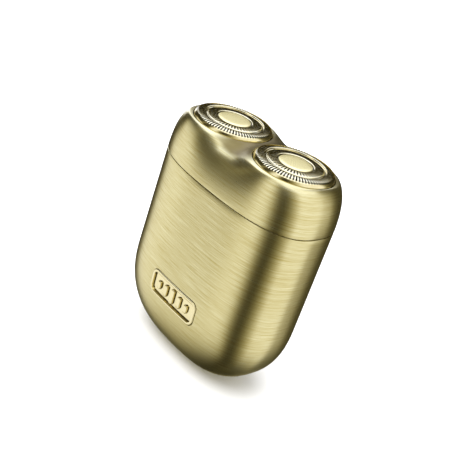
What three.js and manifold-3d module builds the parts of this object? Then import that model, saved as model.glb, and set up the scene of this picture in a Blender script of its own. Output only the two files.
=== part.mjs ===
// Pocket rotary shaver: a die-cast metal body, a lift-off shaving head with two floating
// slotted foil caps, and the drive, battery and charging parts inside.
// Millimetres, +Z up towards the shaving head, -Y is the front (badge side), +Y the back
// (button side). The origin is the centre of the flat foot the shaver stands on.
import * as THREE from "three";
import { mergeVertices } from "three/addons/utils/BufferGeometryUtils.js";
import Module from "manifold-3d";

const wasm = await Module();
wasm.setup();

// ---------------------------------------------------------------- driving dimensions
const HALF_WIDTH = 28;
const HALF_DEPTH = 15.4;
const SQUARENESS = 2.7; // exponent of the rounded cross-section; 2 would be an ellipse
const SECTION_POINTS = 40;
const INNER_SECTION_POINTS = 24; // hidden pieces need fewer facets
const WALL = 1.6;
const SEAM_Z = 54.4; // where the head lifts off the body
const SEAM_GAP = 0.24;
const HEAD_TOP_Z = 67; // top plane of the head shell around the caps
const CAP_TOP_Z = 68.3;
const HEAD_SPACING = 25; // centre to centre of the two foil caps
const CAP_R = 11.25;
const FOOT_CUT = 0.6; // how much of the rounded bottom is cut away to make the flat foot
const GEAR_MODULE = 0.5;
const PINION_TEETH = 14;
const GEAR_TEETH = 36;
const BUTTON_Z = 32;
const BADGE_Z = 20;

// How many facets a round piece gets, by its size.
const LARGE = 32;
const MEDIUM = 24;
const SMALL = 16;
const TINY = 12;
const PIN = 8;
const CLEAR = 1; // how far a cutting solid runs past the surface it cuts

const CAP_X = HEAD_SPACING / 2;
const BODY_TOP_Z = SEAM_Z - SEAM_GAP / 2;
const HEAD_BOTTOM_Z = SEAM_Z + SEAM_GAP / 2;
const SIDES = [
  ["left", -1],
  ["right", 1],
];

// ---------------------------------------------------------------- materials
const paint = (color, roughness, metalness) =>
  new THREE.MeshStandardMaterial({ color, roughness, metalness });
const brushedGold = paint(0xcfc48c, 0.35, 1);
const polishedGold = paint(0xe6d48e, 0.15, 1);
const steel = paint(0xb9bcc0, 0.3, 1);
const blackPlastic = paint(0x1d1d1f, 0.5, 0);
const whitePlastic = paint(0xe8e6df, 0.45, 0);
const silicone = paint(0x2c2c2e, 0.8, 0);
const boardGreen = paint(0x1f5b3a, 0.5, 0);
const cellWrap = paint(0x9aa0a8, 0.4, 0.3);
const copperRed = paint(0xb23a2a, 0.5, 0);
const darkMagnet = paint(0x55565a, 0.35, 1);
const clearLens = paint(0xf4f4f0, 0.2, 0);

// ---------------------------------------------------------------- solids
/** A three.js geometry as a manifold-3d solid: only the positions count, merged. */
function solid(geometry) {
  const bare = geometry.index ? geometry.toNonIndexed() : geometry.clone();
  const points = new THREE.BufferGeometry().setAttribute(
    "position",
    bare.getAttribute("position"),
  );
  const merged = mergeVertices(points, 1e-4);
  return new wasm.Manifold(
    new wasm.Mesh({
      numProp: 3,
      vertProperties: merged.attributes.position.array,
      triVerts: new Uint32Array(merged.index.array),
    }),
  );
}

/** The way back: a solid as a BufferGeometry with flat-shaded normals. */
function geometryOf(made) {
  const mesh = made.getMesh();
  const count = mesh.numVert;
  const positions = new Float32Array(count * 3);
  for (let i = 0; i < count; i++) {
    const from = i * mesh.numProp;
    positions.set(mesh.vertProperties.subarray(from, from + 3), i * 3);
  }
  const geometry = new THREE.BufferGeometry()
    .setAttribute("position", new THREE.BufferAttribute(positions, 3))
    .setIndex(new THREE.BufferAttribute(new Uint32Array(mesh.triVerts), 1))
    .toNonIndexed();
  geometry.computeVertexNormals();
  return geometry;
}

/** A box between two heights, centred at x, y. */
function block(x, y, sizeX, sizeY, z0, z1) {
  const box = new THREE.BoxGeometry(sizeX, sizeY, z1 - z0);
  return solid(box.translate(x, y, (z0 + z1) / 2));
}

/** A box from its lowest and highest corners. */
function boxOf(x0, x1, y0, y1, z0, z1) {
  return block((x0 + x1) / 2, (y0 + y1) / 2, x1 - x0, y1 - y0, z0, z1);
}

/** An upright cylinder between two heights. */
function drum(x, y, radius, z0, z1, segments = 20) {
  const body = new THREE.CylinderGeometry(radius, radius, z1 - z0, segments);
  return solid(body.rotateX(Math.PI / 2).translate(x, y, (z0 + z1) / 2));
}

/** A cylinder along Y, between two depths. */
function peg(x, z, radius, y0, y1, segments = 20) {
  const body = new THREE.CylinderGeometry(radius, radius, y1 - y0, segments);
  return solid(body.translate(x, (y0 + y1) / 2, z));
}

/** A ring: an upright tube with an inner and an outer radius. */
function ring(x, y, inner, outer, z0, z1, segments = 20) {
  const margin = 1;
  return drum(x, y, outer, z0, z1, segments).subtract(
    drum(x, y, inner, z0 - margin, z1 + margin, segments),
  );
}

/** A flat outline, a list of [x, y], raised between two heights. */
function raised(outline, z0, z1) {
  const shape = new THREE.Shape(outline.map(([x, y]) => new THREE.Vector2(x, y)));
  const body = new THREE.ExtrudeGeometry(shape, { depth: z1 - z0, bevelEnabled: false });
  return solid(body.translate(0, 0, z0));
}

/** A [radius, z] profile that starts and ends on the axis, turned round a vertical axis. */
function turned(profile, x, segments) {
  const points = profile.map(([r, z]) => new THREE.Vector2(r, z));
  const body = new THREE.LatheGeometry(points, segments).rotateX(Math.PI / 2);
  return solid(body.translate(x, 0, 0));
}

/** Rounded rectangle outline centred on the origin. */
function roundedRectangle(width, height, radius, steps = 4) {
  const points = [];
  const corners = [
    [1, 1, 0],
    [-1, 1, 1],
    [-1, -1, 2],
    [1, -1, 3],
  ];
  for (const [sx, sy, quarter] of corners) {
    for (let i = 0; i <= steps; i++) {
      const angle = ((quarter + i / steps) * Math.PI) / 2;
      points.push([
        sx * (width / 2 - radius) + radius * Math.cos(angle),
        sy * (height / 2 - radius) + radius * Math.sin(angle),
      ]);
    }
  }
  return points;
}

/** The body's rounded cross-section as [x, y] points, counter-clockwise. */
function section(halfWidth, halfDepth, count = SECTION_POINTS, squareness = SQUARENESS) {
  const points = [];
  for (let i = 0; i < count; i++) {
    const angle = (2 * Math.PI * i) / count;
    const c = Math.cos(angle);
    const s = Math.sin(angle);
    points.push([
      halfWidth * Math.sign(c) * Math.abs(c) ** (2 / squareness),
      halfDepth * Math.sign(s) * Math.abs(s) ** (2 / squareness),
    ]);
  }
  return points;
}

/** Rings of [x, y, z] points, one above the other, skinned into one closed solid. */
function loft(rings) {
  const count = rings[0].length;
  const vertices = rings.flat();
  const faces = [];
  for (let r = 0; r < rings.length - 1; r++) {
    for (let i = 0; i < count; i++) {
      const j = (i + 1) % count;
      const [a, b] = [r * count + i, r * count + j];
      faces.push(a, b, b + count, a, b + count, a + count);
    }
  }
  for (const [r, flip] of [[0, true], [rings.length - 1, false]]) {
    const centre = [0, 1, 2].map(
      (k) => rings[r].reduce((sum, p) => sum + p[k], 0) / count,
    );
    const hub = vertices.push(centre) - 1;
    for (let i = 0; i < count; i++) {
      const [a, b] = [r * count + i, r * count + ((i + 1) % count)];
      faces.push(...(flip ? [b, a, hub] : [a, b, hub]));
    }
  }
  const geometry = new THREE.BufferGeometry()
    .setAttribute("position", new THREE.Float32BufferAttribute(vertices.flat(), 3))
    .setIndex(faces);
  return solid(geometry);
}

const level = (outline, z) => outline.map(([x, y]) => [x, y, z]);

// ---------------------------------------------------------------- outer form
const BOTTOM_SHARPNESS = 2.57;
const WIDTH_ROUNDING = 22.8; // height over which the width rounds in towards the foot
const DEPTH_ROUNDING = 25.7;

/** Share of the full width or depth at height z, for a bottom that rounds over `height`. */
function roundedShare(z, height) {
  const below = Math.max(height - z, 0) / (height + FOOT_CUT);
  return (1 - below ** BOTTOM_SHARPNESS) ** (1 / BOTTOM_SHARPNESS);
}

/** The body's cross-section at height z, grown outwards by `grow`. */
function bodyRing(z, grow = 0) {
  const outline = section(
    HALF_WIDTH * roundedShare(z, WIDTH_ROUNDING) + grow,
    HALF_DEPTH * roundedShare(z, DEPTH_ROUNDING) + grow,
  );
  return level(outline, z);
}

const OUTER_LEVELS = [0, 0.7, 1.7, 3.4, 6, 9.5, 14, 19.5, DEPTH_ROUNDING];
const outerForm = (grow, top) =>
  loft([...OUTER_LEVELS, top].map((z) => bodyRing(z, grow)));

// The head's shoulder is a quarter ellipse from the seam up to a lobed top outline.
const SHOULDER_HEIGHT = HEAD_TOP_Z - SEAM_Z;
const TOP_HALF_WIDTH = 23.95;
const TOP_HALF_DEPTH = 13.15;
const TOP_SQUARENESS = 3;
const WAIST_PINCH = 0.2; // share of the top's depth lost between the two lobes
const WAIST_REACH = 9;
const SADDLE_DIP = 1.6; // how far the valley between the caps dips
const SADDLE_REACH = 4.6;
const SADDLE_BLEND = 1.2; // how softly the two caps' halves of the valley meet
const CAP_BORE_R = 11.45;
const CAP_FACETS = 32;

/** How far the top dips at x, y: nothing beside a cap, most at the edge of the waist. */
function saddle(x, y) {
  const near = [-CAP_X, CAP_X].map((capX) =>
    Math.exp((CAP_BORE_R - Math.hypot(x - capX, y)) / SADDLE_BLEND),
  );
  const away = -SADDLE_BLEND * Math.log(near[0] + near[1]);
  const t = THREE.MathUtils.clamp(away / SADDLE_REACH, 0, 1);
  return SADDLE_DIP * t * t * (3 - 2 * t);
}

/** One ring of the head's outer surface: climb 0 is the seam, 90 degrees the top edge. */
function shoulderRing(climb, inset = 0) {
  const low = section(HALF_WIDTH, HALF_DEPTH, SECTION_POINTS);
  const high = section(TOP_HALF_WIDTH, TOP_HALF_DEPTH, SECTION_POINTS, TOP_SQUARENESS);
  const angle = THREE.MathUtils.degToRad(climb);
  const lean = 1 - Math.cos(angle);
  return low.map(([x0, y0], i) => {
    const pinch = 1 - WAIST_PINCH * Math.exp(-((high[i][0] / WAIST_REACH) ** 2));
    const [x1, y1] = [high[i][0], high[i][1] * pinch];
    const [x, y] = [x0 + (x1 - x0) * lean, y0 + (y1 - y0) * lean];
    const shrink = 1 - inset / Math.hypot(x, y);
    const rise = Math.sin(angle);
    const z = SEAM_Z + SHOULDER_HEIGHT * rise - saddle(x, y) * rise ** 3;
    return [x * shrink, y * shrink, z];
  });
}

/** The top surface inside the shoulder's top edge, as a ring shrunk towards the middle. */
function topRing(share) {
  return shoulderRing(90).map(([x, y]) => {
    const [sx, sy] = [x * share, y * share];
    return [sx, sy, HEAD_TOP_Z - saddle(sx, sy)];
  });
}

// ---------------------------------------------------------------- the object
const shaver = new THREE.Group();
const place = (name, made, material, parent = shaver) => {
  const mesh = new THREE.Mesh(geometryOf(made), material);
  mesh.name = name;
  parent.add(mesh);
  return mesh;
};

// Pan-head machine screw, its head at the top or, pointing up, at the bottom.
function screw(x, y, headZ, tipZ) {
  const up = tipZ > headZ;
  const headR = 1.45;
  const headHeight = 0.8;
  const shankR = 0.8;
  const slot = 0.4;
  const slotLength = 1.4 * headR;
  const headTop = up ? headZ + headHeight : headZ - headHeight;
  const head = drum(x, y, headR, Math.min(headZ, headTop), Math.max(headZ, headTop), TINY);
  const shank = drum(x, y, shankR, Math.min(headTop, tipZ), Math.max(headTop, tipZ), PIN);
  const [low, high] = up ? [headZ - CLEAR, headZ + slot] : [headZ - slot, headZ + CLEAR];
  const cross = block(x, y, slotLength, slot, low, high).add(
    block(x, y, slot, slotLength, low, high),
  );
  return head.add(shank).subtract(cross);
}

// ---- body shell: one deep die-cast cup with a port in its foot
const FOOT_THICKNESS = 2.4;
const BOSS_Y = 9.6;
const BOSS_TOP_Z = 52.2;
const BOSS_BOTTOM_Z = 46.5;
const BEZEL_R = 7.35;
const BUTTON_HOLE_R = 6.3;
const BEZEL_SEAT_Y = 14.5;
const LENS_Z = 21.5;
const LENS_R = 0.9;
const LENS_Y = [9, HALF_DEPTH - 0.1];
const BADGE_WIDTH = 19.6;
const BADGE_HEIGHT = 7.7;
const BADGE_CORNER = 2.1;
const BADGE_DEPTH = 0.7;
const BADGE_RELIEF = 0.3;
const FIT_GAP = 0.12;
const TAP_R = 0.9; // hole that a screw's thread runs in
const BOSS_X = 2.2;
const BOSS_INNER_Y = 7.6;
const PORT = { width: 9.5, depth: 3.8, corner: 1.85 };
const CUT_Y = [10, 18]; // a cut through the back wall runs between these depths
const CAVITY_LEVELS = [FOOT_THICKNESS, 4.5, 8.5, 15, DEPTH_ROUNDING];

/** An outline in the front view, a list of [x, z - BADGE_Z], as a prism through the front wall. */
function frontPrism(outline) {
  const upright = raised(outline, 0, HALF_DEPTH);
  return upright.rotate([90, 0, 0]).translate([0, -HALF_DEPTH / 2, BADGE_Z]);
}

function bodyShell() {
  const cavity = loft([
    ...CAVITY_LEVELS.map((z) => bodyRing(z, -WALL)),
    bodyRing(BODY_TOP_Z + CLEAR, -WALL),
  ]);
  let shell = outerForm(0, BODY_TOP_Z).subtract(cavity);
  for (const side of [-1, 1]) {
    const bossY = [BOSS_INNER_Y, HALF_DEPTH - WALL / 2];
    const boss = boxOf(-BOSS_X, BOSS_X, ...bossY, BOSS_BOTTOM_Z, BOSS_TOP_Z);
    const tapZ = [BOSS_BOTTOM_Z + CLEAR, BOSS_TOP_Z + CLEAR];
    shell = shell
      .add(side > 0 ? boss : boss.rotate([0, 0, 180]))
      .subtract(drum(0, side * BOSS_Y, TAP_R, ...tapZ, TINY));
  }
  const portOutline = roundedRectangle(PORT.width, PORT.depth, PORT.corner);
  const port = raised(portOutline, -CLEAR, FOOT_THICKNESS + CLEAR);
  const badgeSeat = frontPrism(
    roundedRectangle(BADGE_WIDTH + 2 * FIT_GAP, BADGE_HEIGHT + 2 * FIT_GAP, BADGE_CORNER),
  ).subtract(outerForm(-BADGE_DEPTH - FIT_GAP, SEAM_Z));
  return shell
    .subtract(port)
    .subtract(badgeSeat)
    .subtract(peg(0, BUTTON_Z, BUTTON_HOLE_R, ...CUT_Y, LARGE))
    .subtract(peg(0, BUTTON_Z, BEZEL_R + FIT_GAP, BEZEL_SEAT_Y - FIT_GAP, CUT_Y[1], LARGE))
    .subtract(peg(0, LENS_Z, LENS_R + FIT_GAP, ...CUT_Y, TINY));
}

/** The badge plate: a raised rim round a sunk panel with five raised bars of stepped height. */
function badge() {
  const rim = 0.9;
  const barHeights = [2.4, 3.5, 4.6, 3.5, 2.4];
  const barWidth = 1.6;
  const barCorner = 0.6;
  const barPitch = 3;
  const barRoot = 0.1; // how far a bar runs into the panel it stands on
  const plate = frontPrism(roundedRectangle(BADGE_WIDTH, BADGE_HEIGHT, BADGE_CORNER))
    .intersect(outerForm(BADGE_RELIEF, SEAM_Z))
    .subtract(outerForm(-BADGE_DEPTH, SEAM_Z));
  const panel = frontPrism(
    roundedRectangle(BADGE_WIDTH - 2 * rim, BADGE_HEIGHT - 2 * rim, BADGE_CORNER - rim),
  ).subtract(outerForm(-BADGE_RELIEF, SEAM_Z));
  let made = plate.subtract(panel);
  barHeights.forEach((height, i) => {
    const x0 = (i - (barHeights.length - 1) / 2) * barPitch;
    const bar = roundedRectangle(barWidth, height, barCorner, 3).map(([x, z]) => [x + x0, z]);
    made = made.add(
      frontPrism(bar)
        .intersect(outerForm(0, SEAM_Z))
        .subtract(outerForm(-BADGE_RELIEF - barRoot, SEAM_Z)),
    );
  });
  return made;
}

place("body_shell", bodyShell(), brushedGold);
place("badge_plate", badge(), brushedGold);

// ---- power button at the back: bezel, cap with stem, silicone seal and indicator lens
const BUTTON_R = 5.8;
const BEZEL_FACE_Y = HALF_DEPTH + BADGE_RELIEF;
const BEZEL_INNER_R = 6;
const FLANGE_Y = [13.5, 14.3];
const STEM_END_Y = 10.2;
const STEM_R = 1.6;
const BUTTON_EDGE = 0.3;
const BUTTON_DISH = 0.4;
const OVERLAP = 0.1; // how far two solids run into each other where they are joined
const DIAPHRAGM_R = 7.2;
const DIAPHRAGM_LIP = 0.7;
const DIAPHRAGM_Y = [12.2, 12.9];
const DIAPHRAGM_LIP_Y = 13.4;

const bezel = peg(0, BUTTON_Z, BEZEL_R, BEZEL_SEAT_Y, BEZEL_FACE_Y, LARGE).subtract(
  peg(0, BUTTON_Z, BEZEL_INNER_R, BEZEL_SEAT_Y - CLEAR, BEZEL_FACE_Y + CLEAR, LARGE),
);
const BUTTON_PROFILE = [
  [0, FLANGE_Y[0]],
  [BUTTON_HOLE_R - FIT_GAP, FLANGE_Y[0]],
  [BUTTON_HOLE_R - FIT_GAP, FLANGE_Y[1]],
  [BUTTON_R, FLANGE_Y[1]],
  [BUTTON_R, HALF_DEPTH - BUTTON_EDGE],
  [BUTTON_R - BUTTON_EDGE, HALF_DEPTH],
  [BUTTON_R / 2, HALF_DEPTH - 0.75 * BUTTON_DISH],
  [0, HALF_DEPTH - BUTTON_DISH],
];
// Turned about Z, then laid along +Y and lifted to the button's height.
const buttonCap = turned(BUTTON_PROFILE, 0, MEDIUM)
  .rotate([-90, 0, 0])
  .translate([0, 0, BUTTON_Z])
  .add(peg(0, BUTTON_Z, STEM_R, STEM_END_Y, FLANGE_Y[0] + OVERLAP, TINY));
const lipY = [DIAPHRAGM_Y[0], DIAPHRAGM_LIP_Y];
const sealWeb = peg(0, BUTTON_Z, DIAPHRAGM_R, ...DIAPHRAGM_Y, SMALL);
const sealLip = peg(0, BUTTON_Z, DIAPHRAGM_R, ...lipY, SMALL).subtract(
  peg(0, BUTTON_Z, DIAPHRAGM_R - DIAPHRAGM_LIP, lipY[0] - CLEAR, lipY[1] + CLEAR, SMALL),
);
const stemHole = peg(0, BUTTON_Z, STEM_R + 0.1, lipY[0] - CLEAR, lipY[1] + CLEAR, TINY);
place("button_bezel", bezel, polishedGold);
place("power_button", buttonCap, brushedGold);
place("button_seal", sealWeb.add(sealLip).subtract(stemHole), silicone);
place("indicator_lens", peg(0, LENS_Z, LENS_R, ...LENS_Y, TINY), clearLens);

// ---- head shell: die-cast, two cap bores, hollow for the deck's neck
const COUNTERBORE_R = 12.05;
const COUNTERBORE_TOP_Z = 65.2;
const CAVITY_TOP_Z = 62.8;
const RETAINER_SCREW_Y = 9.4;
const RETAINER_TAP_TOP_Z = 64.2;
const CLIMBS = [0, 15, 30, 45, 60, 75]; // degrees up the shoulder's curve
const CAVITY_CLIMBS = [0, 14, 28, 42];
const TOP_SHARES = [1, 0.85, 0.7, 0.5, 0.25];
const EVERYWHERE = 80; // side of a block that is wider than the whole shaver

function headShell() {
  const outer = loft([
    ...CLIMBS.map((climb) => shoulderRing(climb)),
    ...TOP_SHARES.map(topRing),
  ]);
  const belowSeam = level(shoulderRing(0, WALL), SEAM_Z - CLEAR);
  const cavity = loft([
    belowSeam,
    ...CAVITY_CLIMBS.map((climb) => shoulderRing(climb, WALL)),
  ]).intersect(block(0, 0, EVERYWHERE, EVERYWHERE, 0, CAVITY_TOP_Z));
  const belowHead = block(0, 0, EVERYWHERE, EVERYWHERE, 0, HEAD_BOTTOM_Z);
  const low = CAVITY_TOP_Z - CLEAR;
  let shell = outer.subtract(cavity).subtract(belowHead);
  for (const [, side] of SIDES) {
    shell = shell
      .subtract(drum(side * CAP_X, 0, CAP_BORE_R, low, CAP_TOP_Z, CAP_FACETS))
      .subtract(drum(side * CAP_X, 0, COUNTERBORE_R, low, COUNTERBORE_TOP_Z, CAP_FACETS))
      .subtract(drum(0, side * RETAINER_SCREW_Y, TAP_R, low, RETAINER_TAP_TOP_Z, TINY));
  }
  return shell;
}
place("head_shell", headShell(), brushedGold);

// ---- foil caps: two slotted tracks with a groove between, and a disc in the middle
const FLANGE_R = 11.9;
const CAP_FLANGE_Z = 64.1;
// Each of these slots stands for four of the real foil's finer ones.
const OUTER_SLOTS = 20;
const INNER_SLOTS = 10;
const DISC_R = 4.7;
const FOIL_THICKNESS = 0.8;
const DISC_RECESS = 0.4;
const DISC_GAP = 0.02;
const FLANGE_THICKNESS = 1;
const GROOVE = 0.45; // depth of the groove between the two tracks
const UNDERSIDE_Z = CAP_TOP_Z - FOIL_THICKNESS;
const CAP_INNER_R = 10.8;
const CAP_PROFILE = [
  [0, UNDERSIDE_Z],
  [CAP_INNER_R, UNDERSIDE_Z],
  [CAP_INNER_R, CAP_FLANGE_Z],
  [FLANGE_R, CAP_FLANGE_Z],
  [FLANGE_R, CAP_FLANGE_Z + FLANGE_THICKNESS],
  [CAP_R, CAP_FLANGE_Z + FLANGE_THICKNESS],
  [CAP_R, CAP_TOP_Z - 0.9],
  [11.05, CAP_TOP_Z - 0.5],
  [10.55, CAP_TOP_Z],
  [8.85, CAP_TOP_Z],
  [8.65, CAP_TOP_Z - GROOVE],
  [8.1, CAP_TOP_Z - GROOVE],
  [7.9, CAP_TOP_Z],
  [5.25, CAP_TOP_Z],
  [4.95, CAP_TOP_Z - DISC_RECESS],
  [0, CAP_TOP_Z - DISC_RECESS],
];
// Each track of slots: how many, inner and outer radius, slot width.
const TRACKS = [
  [OUTER_SLOTS, 9.25, 10.5, 1.4],
  [INNER_SLOTS, 5.75, 7.5, 1.6],
];
const CUTTER_BASE_Z = [64.5, 65.1];
const CUTTER_BASE_R = [4.9, 10.5];
const BLADES = 9;
const BLADE_WIDTH = 0.7;
const BLADE_GAP = 0.05; // between a blade's edge and the foil's underside

function foilCap(x) {
  const blank = turned(CAP_PROFILE, x, CAP_FACETS);
  const slotZ = [UNDERSIDE_Z - CLEAR, CAP_TOP_Z + CLEAR];
  const slots = [];
  for (const [count, inner, outer, width] of TRACKS) {
    for (let i = 0; i < count; i++) {
      const cutter = block((inner + outer) / 2, 0, outer - inner, width, ...slotZ);
      slots.push(cutter.rotate([0, 0, (360 * i) / count]).translate([x, 0, 0]));
    }
  }
  return slots.reduce((cap, slot) => cap.subtract(slot), blank);
}

/** The cutter's steel crown: a base ring with blades under each slotted track. */
function cutterBlades(x) {
  const bladeZ = [CUTTER_BASE_Z[0], UNDERSIDE_Z - BLADE_GAP];
  let crown = ring(x, 0, ...CUTTER_BASE_R, ...CUTTER_BASE_Z);
  for (let i = 0; i < BLADES; i++) {
    for (const [, inner, outer] of TRACKS) {
      const reach = outer - inner - BLADE_GAP;
      const blade = block((inner + outer) / 2, 0, reach, BLADE_WIDTH, ...bladeZ);
      crown = crown.add(blade.rotate([0, 0, (360 * i) / BLADES]).translate([x, 0, 0]));
    }
  }
  return crown;
}

const HUB_BOTTOM_Z = 60.9;
const HUB_R = 4;
const HUB_HEAD_R = 4.8;
const HUB_HEAD_Z = [64, 66];
const COUPLER_TIP_Z = 63;
const COUPLER_TIP = 2.5;
const COUPLER_PLAY = 0.4;

function cutterHub(x) {
  const hub = drum(x, 0, HUB_R, HUB_BOTTOM_Z, HUB_HEAD_Z[1]).add(
    drum(x, 0, HUB_HEAD_R, ...HUB_HEAD_Z),
  );
  const socket = COUPLER_TIP + COUPLER_PLAY;
  const socketZ = [HUB_BOTTOM_Z - CLEAR, COUPLER_TIP_Z + COUPLER_PLAY / 2];
  return hub.subtract(block(x, 0, socket, socket, ...socketZ));
}

const DISC_Z = [CAP_TOP_Z - DISC_RECESS + DISC_GAP, CAP_TOP_Z - 0.05];
for (const [name, side] of SIDES) {
  const x = side * CAP_X;
  place(`foil_cap_${name}`, foilCap(x), polishedGold);
  place(`cap_disc_${name}`, drum(x, 0, DISC_R, ...DISC_Z, MEDIUM), polishedGold);
  place(`cutter_blades_${name}`, cutterBlades(x), steel);
  place(`cutter_hub_${name}`, cutterHub(x), whitePlastic);
}

// ---- retainer: holds the caps and cutters in the head, screwed to it from below
const RETAINER_Z = [60.4, 61.6];
const RETAINER = [24.2, 11.8];
const RETAINER_RING_R = [10.7, 11.6];
const RETAINER_RING_TOP_Z = 63.2;
const HUB_HOLE_R = 4.5;
const MAGNET_X = 21.2;
const MAGNET_R = 2.2;
const KEEPER_Z = [60.1, 61.1];
const RETAINER_SCREW_Z = [59.5, 63.9];

function retainerPlate() {
  const [low, high] = [RETAINER_Z[0] - CLEAR, RETAINER_Z[1] + CLEAR];
  const ringZ = [RETAINER_Z[1] - OVERLAP, RETAINER_RING_TOP_Z];
  const keeperTop = KEEPER_Z[1] + OVERLAP;
  let plate = raised(section(...RETAINER, INNER_SECTION_POINTS), ...RETAINER_Z);
  for (const [, side] of SIDES) {
    const x = side * CAP_X;
    plate = plate
      .add(ring(x, 0, ...RETAINER_RING_R, ...ringZ))
      .subtract(drum(x, 0, HUB_HOLE_R, low, high, MEDIUM))
      .subtract(drum(side * MAGNET_X, 0, MAGNET_R + FIT_GAP, low, keeperTop, SMALL))
      .subtract(drum(0, side * RETAINER_SCREW_Y, TAP_R, low, high, TINY));
  }
  return plate;
}
place("retainer_plate", retainerPlate(), blackPlastic);
for (const [name, side] of SIDES) {
  place(`keeper_${name}`, drum(side * MAGNET_X, 0, MAGNET_R, ...KEEPER_Z, SMALL), steel);
}
for (const [name, side] of [["front", -1], ["back", 1]]) {
  const fastener = screw(0, side * RETAINER_SCREW_Y, ...RETAINER_SCREW_Z);
  place(`retainer_screw_${name}`, fastener, steel);
}

// ---- deck: closes the body, its neck centres the head, magnets hold the head down
const DECK_TOP_Z = 57.8;
const NECK = [24.6, 12];
const NECK_WALL = 1.2;
const LIP_Z = [53.7, 54.2];
const STEP_Z = [52.4, 53.8];
const HOLLOW_Z = [52, 56.2];
const FLANGE_OUT = 0.2;
const SEAL_INSET = 1.4;
const MAGNET_Z = [57.9, 59.6];
const MAGNET_TUBE_WALL = 0.7;
const MAGNET_TUBE_BOTTOM_Z = 55;
const DECK_SCREW_HEAD_R = 1.6;
const DECK_SCREW_Z = [57.75, 48.5];
const DECK_SCREW_SEAT_Z = 56.9;
const DECK_POST_R = 2.2;
const DECK_POST_TOP_Z = 56.4;
const PILLAR = [22.6, 5.6];
const PILLAR_R = 1.6;
const PILLAR_TOP_Z = 52.5;
const PLATE_Z = [45.8, 47.6];
const HUB_TUBE_R = 2.9;
const SEAL_R = 4.1;
const SEAL_Z = [56.3, 57.7];
const GASKET_Z = [52.6, 53.55];
const GASKET_GAP = 0.15;

/** The body's inner cross-section, moved in by a further inset. */
function mouthSection(inset) {
  const halves = [HALF_WIDTH - WALL - inset, HALF_DEPTH - WALL - inset];
  return section(...halves, INNER_SECTION_POINTS);
}

function deck() {
  const hollowSize = NECK.map((half) => half - NECK_WALL);
  const hollow = raised(section(...hollowSize, INNER_SECTION_POINTS), ...HOLLOW_Z);
  const through = [HOLLOW_Z[0] - CLEAR, MAGNET_Z[1] + CLEAR];
  let made = raised(mouthSection(FLANGE_OUT), ...LIP_Z)
    .add(raised(mouthSection(SEAL_INSET), ...STEP_Z))
    .add(raised(section(...NECK, INNER_SECTION_POINTS), LIP_Z[1] - OVERLAP, DECK_TOP_Z))
    .subtract(hollow);
  for (const [, side] of SIDES) {
    const x = side * MAGNET_X;
    const tubeZ = [MAGNET_TUBE_BOTTOM_Z, MAGNET_Z[1] + OVERLAP];
    const pocketZ = [MAGNET_Z[0] - 2 * OVERLAP, MAGNET_Z[1] + CLEAR];
    made = made
      .add(drum(x, 0, MAGNET_R + MAGNET_TUBE_WALL, ...tubeZ, SMALL))
      .add(drum(0, side * BOSS_Y, DECK_POST_R, STEP_Z[0], DECK_POST_TOP_Z, SMALL))
      .subtract(drum(x, 0, MAGNET_R + FIT_GAP, ...pocketZ, SMALL))
      .subtract(drum(side * CAP_X, 0, SEAL_R + FIT_GAP, ...through, MEDIUM))
      .subtract(drum(0, side * BOSS_Y, TAP_R, ...through, TINY))
      .subtract(drum(0, side * BOSS_Y, DECK_SCREW_HEAD_R, DECK_SCREW_SEAT_Z, through[1], SMALL));
    for (const front of [-1, 1]) {
      const [px, py] = [side * PILLAR[0], front * PILLAR[1]];
      made = made
        .add(drum(px, py, PILLAR_R, PLATE_Z[1] + OVERLAP, PILLAR_TOP_Z, TINY))
        .subtract(drum(px, py, TAP_R, PLATE_Z[1] - CLEAR, PILLAR_TOP_Z + CLEAR / 2, PIN));
    }
  }
  return made;
}
place("deck", deck(), blackPlastic);

/** The moulded gasket round the deck, under its lip. */
function deckSeal() {
  const holeZ = [GASKET_Z[0] - CLEAR, GASKET_Z[1] + CLEAR];
  const hole = raised(mouthSection(SEAL_INSET - GASKET_GAP), ...holeZ);
  return raised(mouthSection(FLANGE_OUT), ...GASKET_Z).subtract(hole);
}
place("deck_seal", deckSeal(), silicone);
for (const [name, side] of SIDES) {
  const x = side * MAGNET_X;
  const shaftSeal = ring(side * CAP_X, 0, HUB_TUBE_R + 0.1, SEAL_R, ...SEAL_Z, MEDIUM);
  place(`magnet_${name}`, drum(x, 0, MAGNET_R, ...MAGNET_Z, SMALL), darkMagnet);
  place(`shaft_seal_${name}`, shaftSeal, silicone);
}
for (const [name, side] of [["front", -1], ["back", 1]]) {
  place(`deck_screw_${name}`, screw(0, side * BOSS_Y, ...DECK_SCREW_Z), steel);
}

// ---- drive: motor, pinion, two gears on fixed axles, sprung couplers
const AXLE_R = 0.8;
const AXLE_BORE_R = 0.87;
const GEAR_Z = [48.2, 51];
const SHAFT_R = 0.75;
const PRESSURE_ANGLE = THREE.MathUtils.degToRad(20);
const BACKLASH = 0.09;
const TIP_HEIGHT = 0.85; // in modules above the pitch circle
const ROOT_DEPTH = 1.2; // in modules below it

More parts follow.
